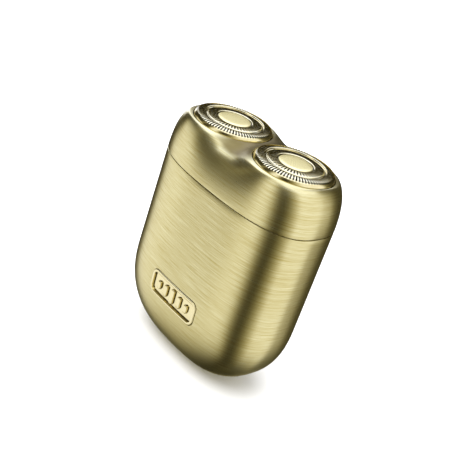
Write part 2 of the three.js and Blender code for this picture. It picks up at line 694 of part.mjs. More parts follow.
/** Involute spur gear outline; the first tooth is centred on +X. */
function gearOutline(teeth, turn = 0) {
  const pitchR = (GEAR_MODULE * teeth) / 2;
  const baseR = pitchR * Math.cos(PRESSURE_ANGLE);
  const tipR = pitchR + GEAR_MODULE * TIP_HEIGHT;
  const rootR = pitchR - GEAR_MODULE * ROOT_DEPTH;
  const involute = (angle) => Math.tan(angle) - angle;
  const halfPitch = Math.PI / (2 * teeth) - BACKLASH / (2 * pitchR);
  const flank = (r) =>
    halfPitch +
    involute(PRESSURE_ANGLE) -
    (r > baseR ? involute(Math.acos(baseR / r)) : 0);
  const radii = [rootR, Math.max(baseR, rootR + 0.15), tipR];
  const points = [];
  for (let i = 0; i < teeth; i++) {
    const middle = turn + (2 * Math.PI * i) / teeth;
    const side = (r, sign) => {
      const angle = middle + sign * flank(r) * (r === rootR ? 1.1 : 1);
      return [r * Math.cos(angle), r * Math.sin(angle)];
    };
    points.push(...radii.map((r) => side(r, -1)));
    points.push(...[...radii].reverse().map((r) => side(r, 1)));
  }
  return points;
}

const SQUARE_BORE = 3.5;
const HUB_TUBE_TOP_Z = 59.8;
const SPRING_Z = [53.4, 56.6];
const COLLAR_R = 2;
const COLLAR_GAP = 0.15; // between the gear's collar and the motor plate
const SLIDE_PLAY = 0.3; // how much smaller the coupler is than its square bore
const COUPLER_Z = [SPRING_Z[1] + 0.2, 60.4];
const TIP_TAPER = 0.6;
const TIP_TOP_R = 1.2;

function driveGear(x) {
  const collarZ = [PLATE_Z[1] + COLLAR_GAP, GEAR_Z[0] + OVERLAP];
  const axleBoreZ = [PLATE_Z[1] - CLEAR, SPRING_Z[0] - OVERLAP];
  const squareZ = [SPRING_Z[0] - 2 * OVERLAP, HUB_TUBE_TOP_Z + CLEAR];
  return raised(gearOutline(GEAR_TEETH, Math.PI / GEAR_TEETH), ...GEAR_Z)
    .add(drum(0, 0, HUB_TUBE_R, GEAR_Z[1] - OVERLAP, HUB_TUBE_TOP_Z, MEDIUM))
    .add(drum(0, 0, COLLAR_R, ...collarZ, SMALL))
    .subtract(drum(0, 0, AXLE_BORE_R, ...axleBoreZ, SMALL))
    .subtract(block(0, 0, SQUARE_BORE, SQUARE_BORE, ...squareZ))
    .translate([x, 0, 0]);
}

/** The coupler slides in the gear's square bore and drives the cutter with its tip. */
function coupler(x) {
  const size = SQUARE_BORE - SLIDE_PLAY;
  const cornerR = COUPLER_TIP / Math.SQRT2;
  const tip = new THREE.CylinderGeometry(TIP_TOP_R, cornerR, TIP_TAPER, 4);
  tip.rotateX(Math.PI / 2).rotateZ(Math.PI / 4);
  tip.translate(x, 0, COUPLER_TIP_Z - TIP_TAPER / 2);
  const neckZ = [COUPLER_Z[1] - OVERLAP, COUPLER_TIP_Z - TIP_TAPER];
  return block(x, 0, size, size, ...COUPLER_Z)
    .add(block(x, 0, COUPLER_TIP, COUPLER_TIP, ...neckZ))
    .add(solid(tip));
}

/** A compression spring: a wire swept along a helix, its ends flat cut. */
function couplerSpring(x) {
  const turns = 4;
  const coilR = 1.4;
  const wireR = 0.2;
  const stepsPerTurn = 9;
  const points = [];
  const rise = SPRING_Z[1] - SPRING_Z[0] - 2 * wireR;
  for (let i = 0; i <= turns * stepsPerTurn; i++) {
    const angle = (2 * Math.PI * i) / stepsPerTurn;
    const z = SPRING_Z[0] + wireR + (rise * i) / (turns * stepsPerTurn);
    points.push(new THREE.Vector3(x + coilR * Math.cos(angle), coilR * Math.sin(angle), z));
  }
  return wire(points, wireR, turns * stepsPerTurn, 5);
}

/** A round wire along a curve through the points. */
function wire(points, radius, steps, sides) {
  const outline = new THREE.Shape();
  for (let i = 0; i < sides; i++) {
    const angle = (2 * Math.PI * i) / sides;
    const [px, py] = [radius * Math.cos(angle), radius * Math.sin(angle)];
    if (i === 0) outline.moveTo(px, py);
    else outline.lineTo(px, py);
  }
  const extrudePath = new THREE.CatmullRomCurve3(points);
  return solid(
    new THREE.ExtrudeGeometry(outline, { steps, extrudePath, bevelEnabled: false }),
  );
}

const MOTOR_PLATE = [25.6, 13];
const SPIGOT_HOLE_R = 3.2;
const BOSS_NOTCH = { y: 12, width: 5.4, depth: 9.8 };
const PLATE_SCREW_Z = [44.9, 52.6];
const AXLE_Z = [PLATE_Z[0] + OVERLAP, 52.9];

function motorPlate() {
  const through = [PLATE_Z[0] - CLEAR, PLATE_Z[1] + CLEAR];
  let plate = raised(section(...MOTOR_PLATE, INNER_SECTION_POINTS), ...PLATE_Z).subtract(
    drum(0, 0, SPIGOT_HOLE_R, ...through, MEDIUM),
  );
  const { y, width, depth } = BOSS_NOTCH;
  for (const [, side] of SIDES) {
    plate = plate
      .subtract(drum(side * CAP_X, 0, AXLE_BORE_R, ...through, SMALL))
      .subtract(block(0, side * y, width, depth, ...through));
    for (const front of [-1, 1]) {
      const [px, py] = [side * PILLAR[0], front * PILLAR[1]];
      plate = plate.subtract(drum(px, py, TAP_R, ...through, TINY));
    }
  }
  return plate;
}
place("motor_plate", motorPlate(), whitePlastic);
let screwNumber = 1;
for (const [, side] of SIDES) {
  for (const front of [-1, 1]) {
    const fastener = screw(side * PILLAR[0], front * PILLAR[1], ...PLATE_SCREW_Z);
    place(`plate_screw_${screwNumber}`, fastener, steel);
    screwNumber += 1;
  }
}
for (const [name, side] of SIDES) {
  const x = side * CAP_X;
  place(`axle_${name}`, drum(x, 0, AXLE_R, ...AXLE_Z, SMALL), steel);
  place(`drive_gear_${name}`, driveGear(x), whitePlastic);
  place(`coupler_spring_${name}`, couplerSpring(x), steel);
  place(`coupler_${name}`, coupler(x), whitePlastic);
}

const MOTOR_Z = [26, 45.6];
const MOTOR_R = 7.7;
const MOTOR_HALF_DEPTH = 6;
const CAN_WALL = 0.8;
const CAN_FIT = 0.15;
const SPIGOT_R = 3;
const SPIGOT_TOP_Z = 46.8;
const SHAFT_PLAY = 0.1;
const END_CAP_TOP_Z = 28.4;
const END_BEARING_R = 2.4;
const END_BEARING_Z = [25.2, 26.2];
const SHAFT_Z = [25.4, 51.8];
const CORE_R = 2.2;
const CORE_Z = [31, 42];
const POLE_Z = [32, 41];
const POLES = 3;
const POLE_HALF_WIDTH = 0.8;
const SHOE_R = [3.5, 4.6];
const SHOE_HALF_WIDTH = 2.8;
const COMMUTATOR_R = 1.7;
const COMMUTATOR_Z = [29, 31.1];
const PRESS_FIT = 0.06;
const PINION_Z = [48, 51.2];

/** An upright drum with two flats, front and back. */
function flatted(inset, z0, z1) {
  const halfDepth = MOTOR_HALF_DEPTH - inset;
  const slab = block(0, 0, EVERYWHERE, 2 * halfDepth, z0 - CLEAR, z1 + CLEAR);
  return drum(0, 0, MOTOR_R - inset, z0, z1, LARGE).intersect(slab);
}

const shaftHole = drum(0, 0, SHAFT_R + SHAFT_PLAY, SHAFT_Z[0] - CLEAR, SHAFT_Z[1], SMALL);
const can = flatted(0, ...MOTOR_Z)
  .add(drum(0, 0, SPIGOT_R, MOTOR_Z[1] - OVERLAP, SPIGOT_TOP_Z, MEDIUM))
  .subtract(flatted(CAN_WALL, MOTOR_Z[0] - CLEAR, MOTOR_Z[1] - CAN_WALL))
  .subtract(shaftHole);
const endCap = flatted(CAN_WALL + CAN_FIT, MOTOR_Z[0] + OVERLAP, END_CAP_TOP_Z)
  .add(drum(0, 0, END_BEARING_R, ...END_BEARING_Z, SMALL))
  .subtract(shaftHole);

/** Three-pole armature: T-shaped poles round a core, with the commutator below. */
function armature() {
  const bore = drum(0, 0, SHAFT_R + PRESS_FIT, MOTOR_Z[0], MOTOR_Z[1], SMALL);
  const shoeBox = boxOf(CORE_R, MOTOR_R, -SHOE_HALF_WIDTH, SHOE_HALF_WIDTH, ...POLE_Z);
  const shoe = ring(0, 0, ...SHOE_R, ...POLE_Z, MEDIUM).intersect(shoeBox);
  const poleX = [SHAFT_R * 2, (SHOE_R[0] + SHOE_R[1]) / 2];
  const pole = boxOf(...poleX, -POLE_HALF_WIDTH, POLE_HALF_WIDTH, ...POLE_Z).add(shoe);
  let core = drum(0, 0, CORE_R, ...CORE_Z, SMALL);
  for (let i = 0; i < POLES; i++) {
    core = core.add(pole.rotate([0, 0, (360 / POLES) * i]));
  }
  return core.add(drum(0, 0, COMMUTATOR_R, ...COMMUTATOR_Z, TINY)).subtract(bore);
}
const pinion = raised(gearOutline(PINION_TEETH), ...PINION_Z).subtract(
  drum(0, 0, SHAFT_R + PRESS_FIT, PINION_Z[0] - CLEAR, PINION_Z[1] + CLEAR, SMALL),
);
place("motor_can", can, steel);
place("motor_end_cap", endCap, blackPlastic);
place("motor_shaft", drum(0, 0, SHAFT_R, ...SHAFT_Z, SMALL), steel);
place("motor_armature", armature(), darkMagnet);
place("pinion", pinion, whitePlastic);

// ---- inner frame: a moulded cradle for the motor, the cell and the circuit board
const FRAME_Z = [12, 43];
const FRAME_X = [12.3, 13.7];
const FRAME_Y = [-10.8, 8.8];
const CELL_WALL_Y = [-7.05, -6.25];
const BOTTOM_BAR = 1.2;
const MOTOR_SHELF_Y = [-6.3, 5.5];
const MOTOR_SHELF_Z = [23.8, 25];
const BOTTOM_WINDOW = [-8.8, 8.8, -4, 4.2];
const SHELF_WINDOW = [-7, 7, -3.5, 6];

function innerFrame() {
  const [inner, outer] = FRAME_X;
  const [bottom, top] = FRAME_Z;
  const span = [-inner - OVERLAP, inner + OVERLAP];
  const [shelfLow, shelfHigh] = MOTOR_SHELF_Z;
  return boxOf(-outer, -inner, ...FRAME_Y, bottom, top)
    .add(boxOf(inner, outer, ...FRAME_Y, bottom, top))
    .add(boxOf(...span, ...CELL_WALL_Y, bottom, top))
    .add(boxOf(...span, ...FRAME_Y, bottom, bottom + BOTTOM_BAR))
    .add(boxOf(...span, ...MOTOR_SHELF_Y, ...MOTOR_SHELF_Z))
    .subtract(boxOf(...BOTTOM_WINDOW, bottom - CLEAR, bottom + BOTTOM_BAR + CLEAR))
    .subtract(boxOf(...SHELF_WINDOW, shelfLow - CLEAR, shelfHigh + CLEAR));
}
place("inner_frame", innerFrame(), blackPlastic);

// ---- cell, boards, switch, charging socket and leads
const BOARD_Y = [7, 8];
const CELL = [-12, 12, -11.3, -7.3, 13.5, 42.5];
const MAIN_BOARD = [-11, 11, ...BOARD_Y, 15.5, 42.5];
const CHARGE_BOARD = [-8, 8, 1.75, 2.75, 3, 15];
const SWITCH_HALF = 3;
const SWITCH_Y = [BOARD_Y[1] + 0.02, 10];
const PLUNGER_R = 1.5;
const PLUNGER_Y = [8.7, STEM_END_Y - 0.05];
const SOCKET = { width: 8.94, depth: 3.26, corner: 1.6, wall: 0.3, z: [0.8, 8] };
const SOCKET_BLOCK = { width: 8.2, depth: 2.5, corner: 1.2, z: [6.6, 7.65] };
const TONGUE = { width: 6.7, depth: 0.7, z: [1.5, 6.7] };

const switchZ = [BUTTON_Z - SWITCH_HALF, BUTTON_Z + SWITCH_HALF];
const switchBox = [-SWITCH_HALF, SWITCH_HALF, ...SWITCH_Y, ...switchZ];
const switchBase = boxOf(...switchBox).subtract(
  peg(0, BUTTON_Z, PLUNGER_R + OVERLAP, SWITCH_Y[0] - CLEAR, SWITCH_Y[1] + CLEAR, TINY),
);
place("battery_cell", boxOf(...CELL), cellWrap);
place("main_board", boxOf(...MAIN_BOARD), boardGreen);
place("switch_base", switchBase, steel);
place("switch_plunger", peg(0, BUTTON_Z, PLUNGER_R, ...PLUNGER_Y, TINY), blackPlastic);
place("charge_board", boxOf(...CHARGE_BOARD), boardGreen);

/** Reversible charging receptacle: a stadium tube with a closed back. */
function socketShell() {
  const { width, depth, corner, wall, z } = SOCKET;
  const outline = (inset) =>
    roundedRectangle(width - 2 * inset, depth - 2 * inset, corner - inset);
  return raised(outline(0), ...z).subtract(raised(outline(wall), 0, z[1] - wall));
}

/** The receptacle's moulded block with the contact tongue standing on it. */
function socketTongue() {
  const { width, depth, corner, z } = SOCKET_BLOCK;
  const base = raised(roundedRectangle(width, depth, corner), ...z);
  return base.add(block(0, 0, TONGUE.width, TONGUE.depth, ...TONGUE.z));
}
place("socket_shell", socketShell(), steel);
place("socket_tongue", socketTongue(), blackPlastic);

const BATTERY_LEAD_R = 0.45;
const MOTOR_LEAD_R = 0.4;
const LEAD_SIDES = 6;
const point = (x, y, z) => new THREE.Vector3(x, y, z);
for (const [name, side] of SIDES) {
  const batteryLead = [
    point(side * 9.4, -9.3, 42.8),
    point(side * 9.4, -8.8, 44),
    point(side * 9.4, -5, 44.2),
    point(side * 9.4, 3, 44.2),
    point(side * 9.4, 5.6, 43.4),
    point(side * 9.4, 6.3, 41),
  ];
  const motorLead = [
    point(side * 4, 2, 25.7),
    point(side * 4, 2.4, 23),
    point(side * 4, 4.4, 20.6),
    point(side * 4, 6.6, 20),
  ];
  const material = side < 0 ? copperRed : blackPlastic;
  place(`battery_lead_${name}`, wire(batteryLead, BATTERY_LEAD_R, 14, LEAD_SIDES), material);
  place(`motor_lead_${name}`, wire(motorLead, MOTOR_LEAD_R, 8, LEAD_SIDES), material);
}

export default shaver;
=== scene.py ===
"""The looks of a pocket rotary shaver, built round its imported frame. Metres, +Z up, -Y the front."""
import math

import bpy
from mathutils import Matrix, Vector


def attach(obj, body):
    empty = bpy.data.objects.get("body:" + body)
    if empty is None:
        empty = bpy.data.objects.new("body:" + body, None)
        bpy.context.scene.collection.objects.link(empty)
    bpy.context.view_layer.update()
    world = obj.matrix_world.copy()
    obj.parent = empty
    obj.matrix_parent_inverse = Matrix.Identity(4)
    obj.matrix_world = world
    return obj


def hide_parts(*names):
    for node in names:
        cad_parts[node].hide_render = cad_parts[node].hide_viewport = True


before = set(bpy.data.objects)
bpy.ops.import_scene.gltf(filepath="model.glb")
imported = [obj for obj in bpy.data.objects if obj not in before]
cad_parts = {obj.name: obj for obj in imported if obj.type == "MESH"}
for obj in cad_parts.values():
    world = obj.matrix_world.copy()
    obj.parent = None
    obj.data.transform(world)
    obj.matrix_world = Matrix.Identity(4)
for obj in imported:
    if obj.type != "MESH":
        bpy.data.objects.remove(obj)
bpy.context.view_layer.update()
MM = 0.001


# ------------------------------------------------------------------ studio
# The shaver stands on a plain pale sweep under soft light. What the metal mirrors is a white room
# with dark flags stood round it: they give the upright bands on the brushed walls.
CAMERA_TARGET = Vector((-0.5, -3.3, 41.8)) * MM
CAMERA_DISTANCE = 250 * MM
CAMERA_AZIMUTH = 40.67
CAMERA_ELEVATION = 26.15
CAMERA_ROLL = 19.15
CAMERA_LENS = 72.36
# Brightness of the room round the horizon, by degrees from the front towards the right.
ROOM = [
    (-180, 0.05), (-150, 0.05), (-116, 0.02), (-98, 0.01), (-89, 0.20), (-82, 1.90), (-72, 2.80),
    (-57, 1.60), (-42, 0.90), (-24, 1.10), (-9, 1.62), (5, 0.72), (15, 0.03), (31, 0.01),
    (45, 0.18), (60, 0.57), (76, 1.02), (95, 1.65), (122, 2.15), (136, 0.90), (148, 0.03),
    (180, 0.05),
]
# Soft cards hung in the room: left, right, lower and upper edge in degrees, softness, brightness.
CARDS = {
    "lit_low_behind": (-166, -138, -62, -44, 9, 0.55),
    "lit_strip_left": (-124, -104, -10, 30, 8, 1.6),
    "lit_roof_behind": (-160, -48, 27, 95, 10, 1.7),
    "lit_roof_right": (-12, 170, 46, 95, 14, 1.4),
    "dark_left": (-106, -78, -14, 36, 10, 0.04),
    "dark_front_left": (-90, -46, 4, 44, 14, 0.04),
    "dark_front": (-47, -16, -18, 52, 16, 0.05),
    "lit_overhead": (-190, 190, 64, 95, 14, 1.25),
    "dark_floor": (-190, 190, -95, -52, 32, 0.02),
}


def deselect():
    """Nothing selected and nothing active, whatever came before."""
    bpy.ops.object.select_all(action="DESELECT")
    bpy.context.view_layer.objects.active = None


def add_node(tree, kind, settings=None, links=None):
    """One node: settings fill its sockets or its own properties, links feed its sockets."""
    made = tree.nodes.new("ShaderNode" + kind)
    for key, value in (settings or {}).items():
        if isinstance(key, int) or key in made.inputs:
            made.inputs[key].default_value = value
        else:
            setattr(made, key, value)
    for key, source in (links or {}).items():
        tree.links.new(source, made.inputs[key])
    return made


def linear(hex_colour):
    """An sRGB hex colour, such as "#D8CA92", as the linear RGBA that the shaders take."""
    parts = [int(hex_colour[i : i + 2], 16) / 255 for i in (1, 3, 5)]
    return [c / 12.92 if c <= 0.04045 else ((c + 0.055) / 1.055) ** 2.4 for c in parts] + [1]


def new_material(name):
    """An empty node material with its Principled shader already joined to the output."""
    made = bpy.data.materials.new(name)
    made.use_nodes = True
    return made, made.node_tree, made.node_tree.nodes["Principled BSDF"]


def put_camera():
    """A long lens, looking down on the front right corner, rolled as if held by hand."""
    data = bpy.data.cameras.new("camera")
    data.lens = CAMERA_LENS
    data.clip_start = 1 * MM
    data.clip_end = 50
    camera = bpy.data.objects.new("camera", data)
    bpy.context.scene.collection.objects.link(camera)
    turn = (
        Matrix.Rotation(math.radians(CAMERA_AZIMUTH), 4, "Z")
        @ Matrix.Rotation(math.radians(90 - CAMERA_ELEVATION), 4, "X")
        @ Matrix.Rotation(math.radians(CAMERA_ROLL), 4, "Z")
    )
    back = turn @ Vector((0, 0, CAMERA_DISTANCE))
    camera.matrix_world = Matrix.Translation(CAMERA_TARGET + back) @ turn
    bpy.context.scene.camera = camera


def inside_span(tree, value, low, high, softness):
    """1 where the value lies in this span, falling softly to 0 past either end."""
    middle = add_node(tree, "Math", {"operation": "SUBTRACT", 1: (low + high) / 2}, {0: value})
    away = add_node(tree, "Math", {"operation": "ABSOLUTE"}, {0: middle.outputs[0]})
    reach = (high - low) / 2
    span = {
        "From Min": reach + softness / 2,
        "From Max": reach - softness / 2,
        "interpolation_type": "SMOOTHSTEP",
    }
    return add_node(tree, "MapRange", span, {"Value": away.outputs[0]}).outputs[0]


def hang_card(tree, behind, compass, height, card):
    """One soft-edged card in front of what is behind it."""
    left, right, low, high, softness, level = card
    across = inside_span(tree, compass, left, right, softness)
    up = inside_span(tree, height, low, high, softness)
    cover = add_node(tree, "Math", {"operation": "MULTIPLY"}, {0: across, 1: up})
    mixed = add_node(
        tree,
        "Mix",
        {"data_type": "RGBA", 7: (level, level, level, 1)},
        {0: cover.outputs[0], 6: behind},
    )
    return mixed.outputs[2]


def light_room():
    """The room that the metal mirrors; straight on, the eye sees only plain white."""
    world = bpy.data.worlds.new("white_room")
    world.use_nodes = True
    tree = world.node_tree
    tree.nodes.clear()
    direction = add_node(tree, "TexCoord")
    axes = add_node(tree, "SeparateXYZ", {}, {0: direction.outputs["Generated"]})
    forward = add_node(tree, "Math", {"operation": "MULTIPLY", 1: -1}, {0: axes.outputs["Y"]})
    turn = add_node(
        tree, "Math", {"operation": "ARCTAN2"}, {0: axes.outputs["X"], 1: forward.outputs[0]}
    )
    compass = add_node(tree, "Math", {"operation": "DEGREES"}, {0: turn.outputs[0]})
    rise = add_node(tree, "Math", {"operation": "ARCSINE"}, {0: axes.outputs["Z"]})
    height = add_node(tree, "Math", {"operation": "DEGREES"}, {0: rise.outputs[0]})
    around = add_node(
        tree, "MapRange", {"From Min": -180, "From Max": 180}, {"Value": compass.outputs[0]}
    )
    walls = add_node(tree, "ValToRGB", {}, {"Fac": around.outputs[0]})
    ramp = walls.color_ramp
    ramp.interpolation = "B_SPLINE"
    for step, (degrees, level) in enumerate(ROOM):
        place = (degrees + 180) / 360
        stop = ramp.elements[step] if step < 2 else ramp.elements.new(place)
        stop.position = place
        stop.color = (level, level, level, 1)
    with_cards = walls.outputs[0]
    for card in CARDS.values():
        with_cards = hang_card(tree, with_cards, compass.outputs[0], height.outputs[0], card)
    warmth = add_node(
        tree,
        "MapRange",
        {"From Min": 0.05, "From Max": 1.8},
        {"Value": with_cards},
    )
    tinted = add_node(
        tree,
        "Mix",
        {"data_type": "RGBA", 6: (1.0, 0.89, 0.45, 1), 7: (1.0, 1.13, 1.85, 1)},
        {0: warmth.outputs[0]},
    )
    room = add_node(
        tree,
        "Mix",
        {"data_type": "RGBA", "blend_type": "MULTIPLY", 0: 1.0},
        {6: with_cards, 7: tinted.outputs[2]},
    )
    mirrored = add_node(tree, "Background", {"Strength": 1.0}, {"Color": room.outputs[2]})
    seen = add_node(tree, "Background", {"Color": (1, 1, 1, 1), "Strength": 1.0})
    path = add_node(tree, "LightPath")
    choice = add_node(
        tree,
        "MixShader",
        {},
        {0: path.outputs["Is Glossy Ray"], 1: seen.outputs[0], 2: mirrored.outputs[0]},
    )
    add_node(tree, "OutputWorld", {}, {"Surface": choice.outputs[0]})
    bpy.context.scene.world = world


def lay_floor():
    """A wide round sheet of white paper that the metal doesn't mirror."""
    deselect()
    bpy.ops.mesh.primitive_circle_add(vertices=96, radius=4, fill_type="NGON")
    floor = bpy.context.object
    floor.name = "floor"
    floor.visible_glossy = False
    paper, tree, shader = new_material("white_paper_sweep")
    grain = add_node(tree, "TexNoise", {"Scale": 900.0, "Detail": 3.0})
    tint = add_node(
        tree,
        "MapRange",
        {"To Min": 0.90, "To Max": 0.93},
        {"Value": grain.outputs[0]},
    )
    tree.links.new(tint.outputs[0], shader.inputs["Base Color"])
    shader.inputs["Roughness"].default_value = 0.9
    floor.data.materials.append(paper)


def hang_lamp(name, place, size, watts):
    """A square soft box, turned to face the shaver and left out of the metal's mirror image."""
    data = bpy.data.lights.new(name, "AREA")
    data.size = size
    data.energy = watts
    lamp = bpy.data.objects.new(name, data)
    bpy.context.scene.collection.objects.link(lamp)
    lamp.location = place
    lamp.rotation_euler = (CAMERA_TARGET - Vector(place)).to_track_quat("-Z", "Y").to_euler()
    lamp.visible_camera = False
    lamp.visible_glossy = False


put_camera()
light_room()
lay_floor()
hang_lamp("key_light", (-0.3, -0.3, 1.3), 2.0, 40.0)
bpy.context.scene.view_settings.view_transform = "Standard"


# ------------------------------------------------------------------ body shell
# A deep cup, die cast in zinc and machined, with a small flat foot. It is plated pale gold and
# brushed round its girth on a belt, so fine lines run level all the way round.
HALF_WIDTH = 28.0
HALF_DEPTH = 15.4
SQUARENESS = 2.7
WALL = 1.6
SEAM_Z = 54.4
SEAM_HALF_GAP = 0.12
FOOT_CUT = 0.6
BOTTOM_SHARPNESS = 2.57
WIDTH_ROUNDING = 22.8
DEPTH_ROUNDING = 25.7
SIDES = 192


def turn_smooth(piece, degrees=30):
    """Smooth shading with crisp edges wherever the surface turns by more than this."""
    deselect()
    piece.select_set(True)
    bpy.context.view_layer.objects.active = piece
    bpy.ops.object.shade_smooth_by_angle(angle=math.radians(degrees))


def finish_piece(piece, material, body, slot, *stands_for):
    """Gives a finished mesh its material and its place in the assembly."""
    piece.data.materials.clear()
    piece.data.materials.append(material)
    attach(piece, body)
    if stands_for:
        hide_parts(*stands_for)
    return piece


def drawn_tube(name, level_count, outline):
    """A tube of unit rings, extruded one per level, then drawn out to the real form.

    outline(angle, level) gives each point's place in millimetres.
    """
    deselect()
    bpy.ops.mesh.primitive_circle_add(vertices=SIDES, radius=1)
    tube = bpy.context.object
    tube.name = name
    bpy.ops.object.mode_set(mode="EDIT")
    bpy.ops.mesh.select_all(action="SELECT")
    for _ in range(level_count - 1):
        bpy.ops.mesh.extrude_region_move(TRANSFORM_OT_translate={"value": (0, 0, 1)})
    bpy.ops.object.mode_set(mode="OBJECT")
    for vertex in tube.data.vertices:
        x, y, level = vertex.co
        vertex.co = Vector(outline(math.atan2(y, x), round(level))) * MM
    return tube


def pick(piece, kind, wanted):
    """Goes into edit mode with only the wanted points, edges or faces of the piece selected."""
    deselect()
    piece.select_set(True)
    bpy.context.view_layer.objects.active = piece
    bpy.ops.object.mode_set(mode="EDIT")
    bpy.ops.mesh.select_mode(type=kind)
    bpy.ops.mesh.select_all(action="DESELECT")
    bpy.ops.object.mode_set(mode="OBJECT")
    mesh = piece.data
    for part in {"VERT": mesh.vertices, "EDGE": mesh.edges, "FACE": mesh.polygons}[kind]:
        part.select = bool(wanted(part))
    bpy.ops.object.mode_set(mode="EDIT")


def fill_hole(piece, on_its_edge):
    """Fills the hole whose edge points pass this test, and turns every face outwards."""
    pick(piece, "VERT", lambda vertex: on_its_edge(vertex.co / MM))
    bpy.ops.mesh.edge_face_add()
    bpy.ops.mesh.select_all(action="SELECT")
    bpy.ops.mesh.normals_make_consistent(inside=False)
    bpy.ops.object.mode_set(mode="OBJECT")


def apply_modifier(piece, kind, **settings):
    """Adds a modifier with these settings and applies it at once."""
    deselect()
    piece.select_set(True)
    bpy.context.view_layer.objects.active = piece
    modifier = piece.modifiers.new(kind.lower(), kind)
    for key, value in settings.items():
        setattr(modifier, key, value)
    bpy.ops.object.modifier_apply(modifier=modifier.name)


def cut(piece, cutter):
    """Takes the cutter's solid out of the piece, then throws the cutter away."""
    apply_modifier(piece, "BOOLEAN", operation="DIFFERENCE", solver="EXACT", object=cutter)
    bpy.data.objects.remove(cutter)


def squircle(angle, half_width, half_depth, squareness=SQUARENESS):
    """The point at this angle on the rounded cross-section."""
    c, s = math.cos(angle), math.sin(angle)
    x = half_width * math.copysign(abs(c) ** (2 / squareness), c)
    y = half_depth * math.copysign(abs(s) ** (2 / squareness), s)
    return x, y


def rounded_share(z, height):
    """Share of the full width or depth at height z, where the bottom rounds over this height."""
    below = max(height - z, 0) / (height + FOOT_CUT)
    return (1 - below**BOTTOM_SHARPNESS) ** (1 / BOTTOM_SHARPNESS)


def body_levels():
    """(height, inset) of each ring, close together where the bottom turns, rounded at the rim."""
    turning = 34
    low = [DEPTH_ROUNDING * (k / turning) ** 1.8 for k in range(turning + 1)]
    rim = SEAM_Z - SEAM_HALF_GAP
    straight = [(DEPTH_ROUNDING + k * 4.5, 0) for k in range(1, 7)]
    edge = [(rim - 0.2, 0), (rim - 0.06, 0.04), (rim, 0.16)]
    return [(z, 0) for z in low] + straight + edge


def body_outline(angle, level):
    """The body's wall at this angle and level."""
    z, inset = LEVELS[level]
    x, y = squircle(
        angle,
        HALF_WIDTH * rounded_share(z, WIDTH_ROUNDING) - inset,
        HALF_DEPTH * rounded_share(z, DEPTH_ROUNDING) - inset,
    )
    return x, y, z


def rounded_block(name, centre, size, radius, upright, segments=10):
    """A block whose four edges along the upright axis are rounded. Millimetres."""
    deselect()
    bpy.ops.mesh.primitive_cube_add(size=1)
    block = bpy.context.object
    block.name = name
    for vertex in block.data.vertices:
        vertex.co = [(c + v * s) * MM for c, v, s in zip(centre, vertex.co, size)]

    def is_upright(edge):
        ends = [block.data.vertices[i].co[upright] for i in edge.vertices]
        return abs(ends[0] - ends[1]) > 0.001 * MM

    pick(block, "EDGE", is_upright)
    bpy.ops.mesh.bevel(offset=radius * MM, segments=segments, affect="EDGES")
    bpy.ops.object.mode_set(mode="OBJECT")
    return block


def turned(name, profile, centre, axis, steps=96):
    """A [radius, height] profile in millimetres, spun once round an axis through the centre."""
    side = Vector((1, 0, 0))
    points = [(Vector(centre) + side * r + Vector(axis) * h) * MM for r, h in profile]
    deselect()
    bpy.ops.mesh.primitive_plane_add(size=1)
    piece = bpy.context.object
    piece.name = name
    bpy.ops.object.mode_set(mode="EDIT")
    bpy.ops.mesh.select_mode(type="VERT")
    bpy.ops.mesh.select_all(action="SELECT")
    bpy.ops.mesh.merge(type="CENTER")
    bpy.ops.transform.translate(value=points[0])
    for here, there in zip(points, points[1:]):
        bpy.ops.mesh.extrude_region_move(TRANSFORM_OT_translate={"value": there - here})
    bpy.ops.mesh.select_all(action="SELECT")
    bpy.ops.mesh.spin(
        steps=steps,
        angle=2 * math.pi,
        center=Vector(centre) * MM,
        axis=axis,
    )
    bpy.ops.mesh.select_all(action="SELECT")
    bpy.ops.mesh.remove_doubles(threshold=0.001 * MM)
    bpy.ops.mesh.normals_make_consistent(inside=False)
    bpy.ops.object.mode_set(mode="OBJECT")
    return piece


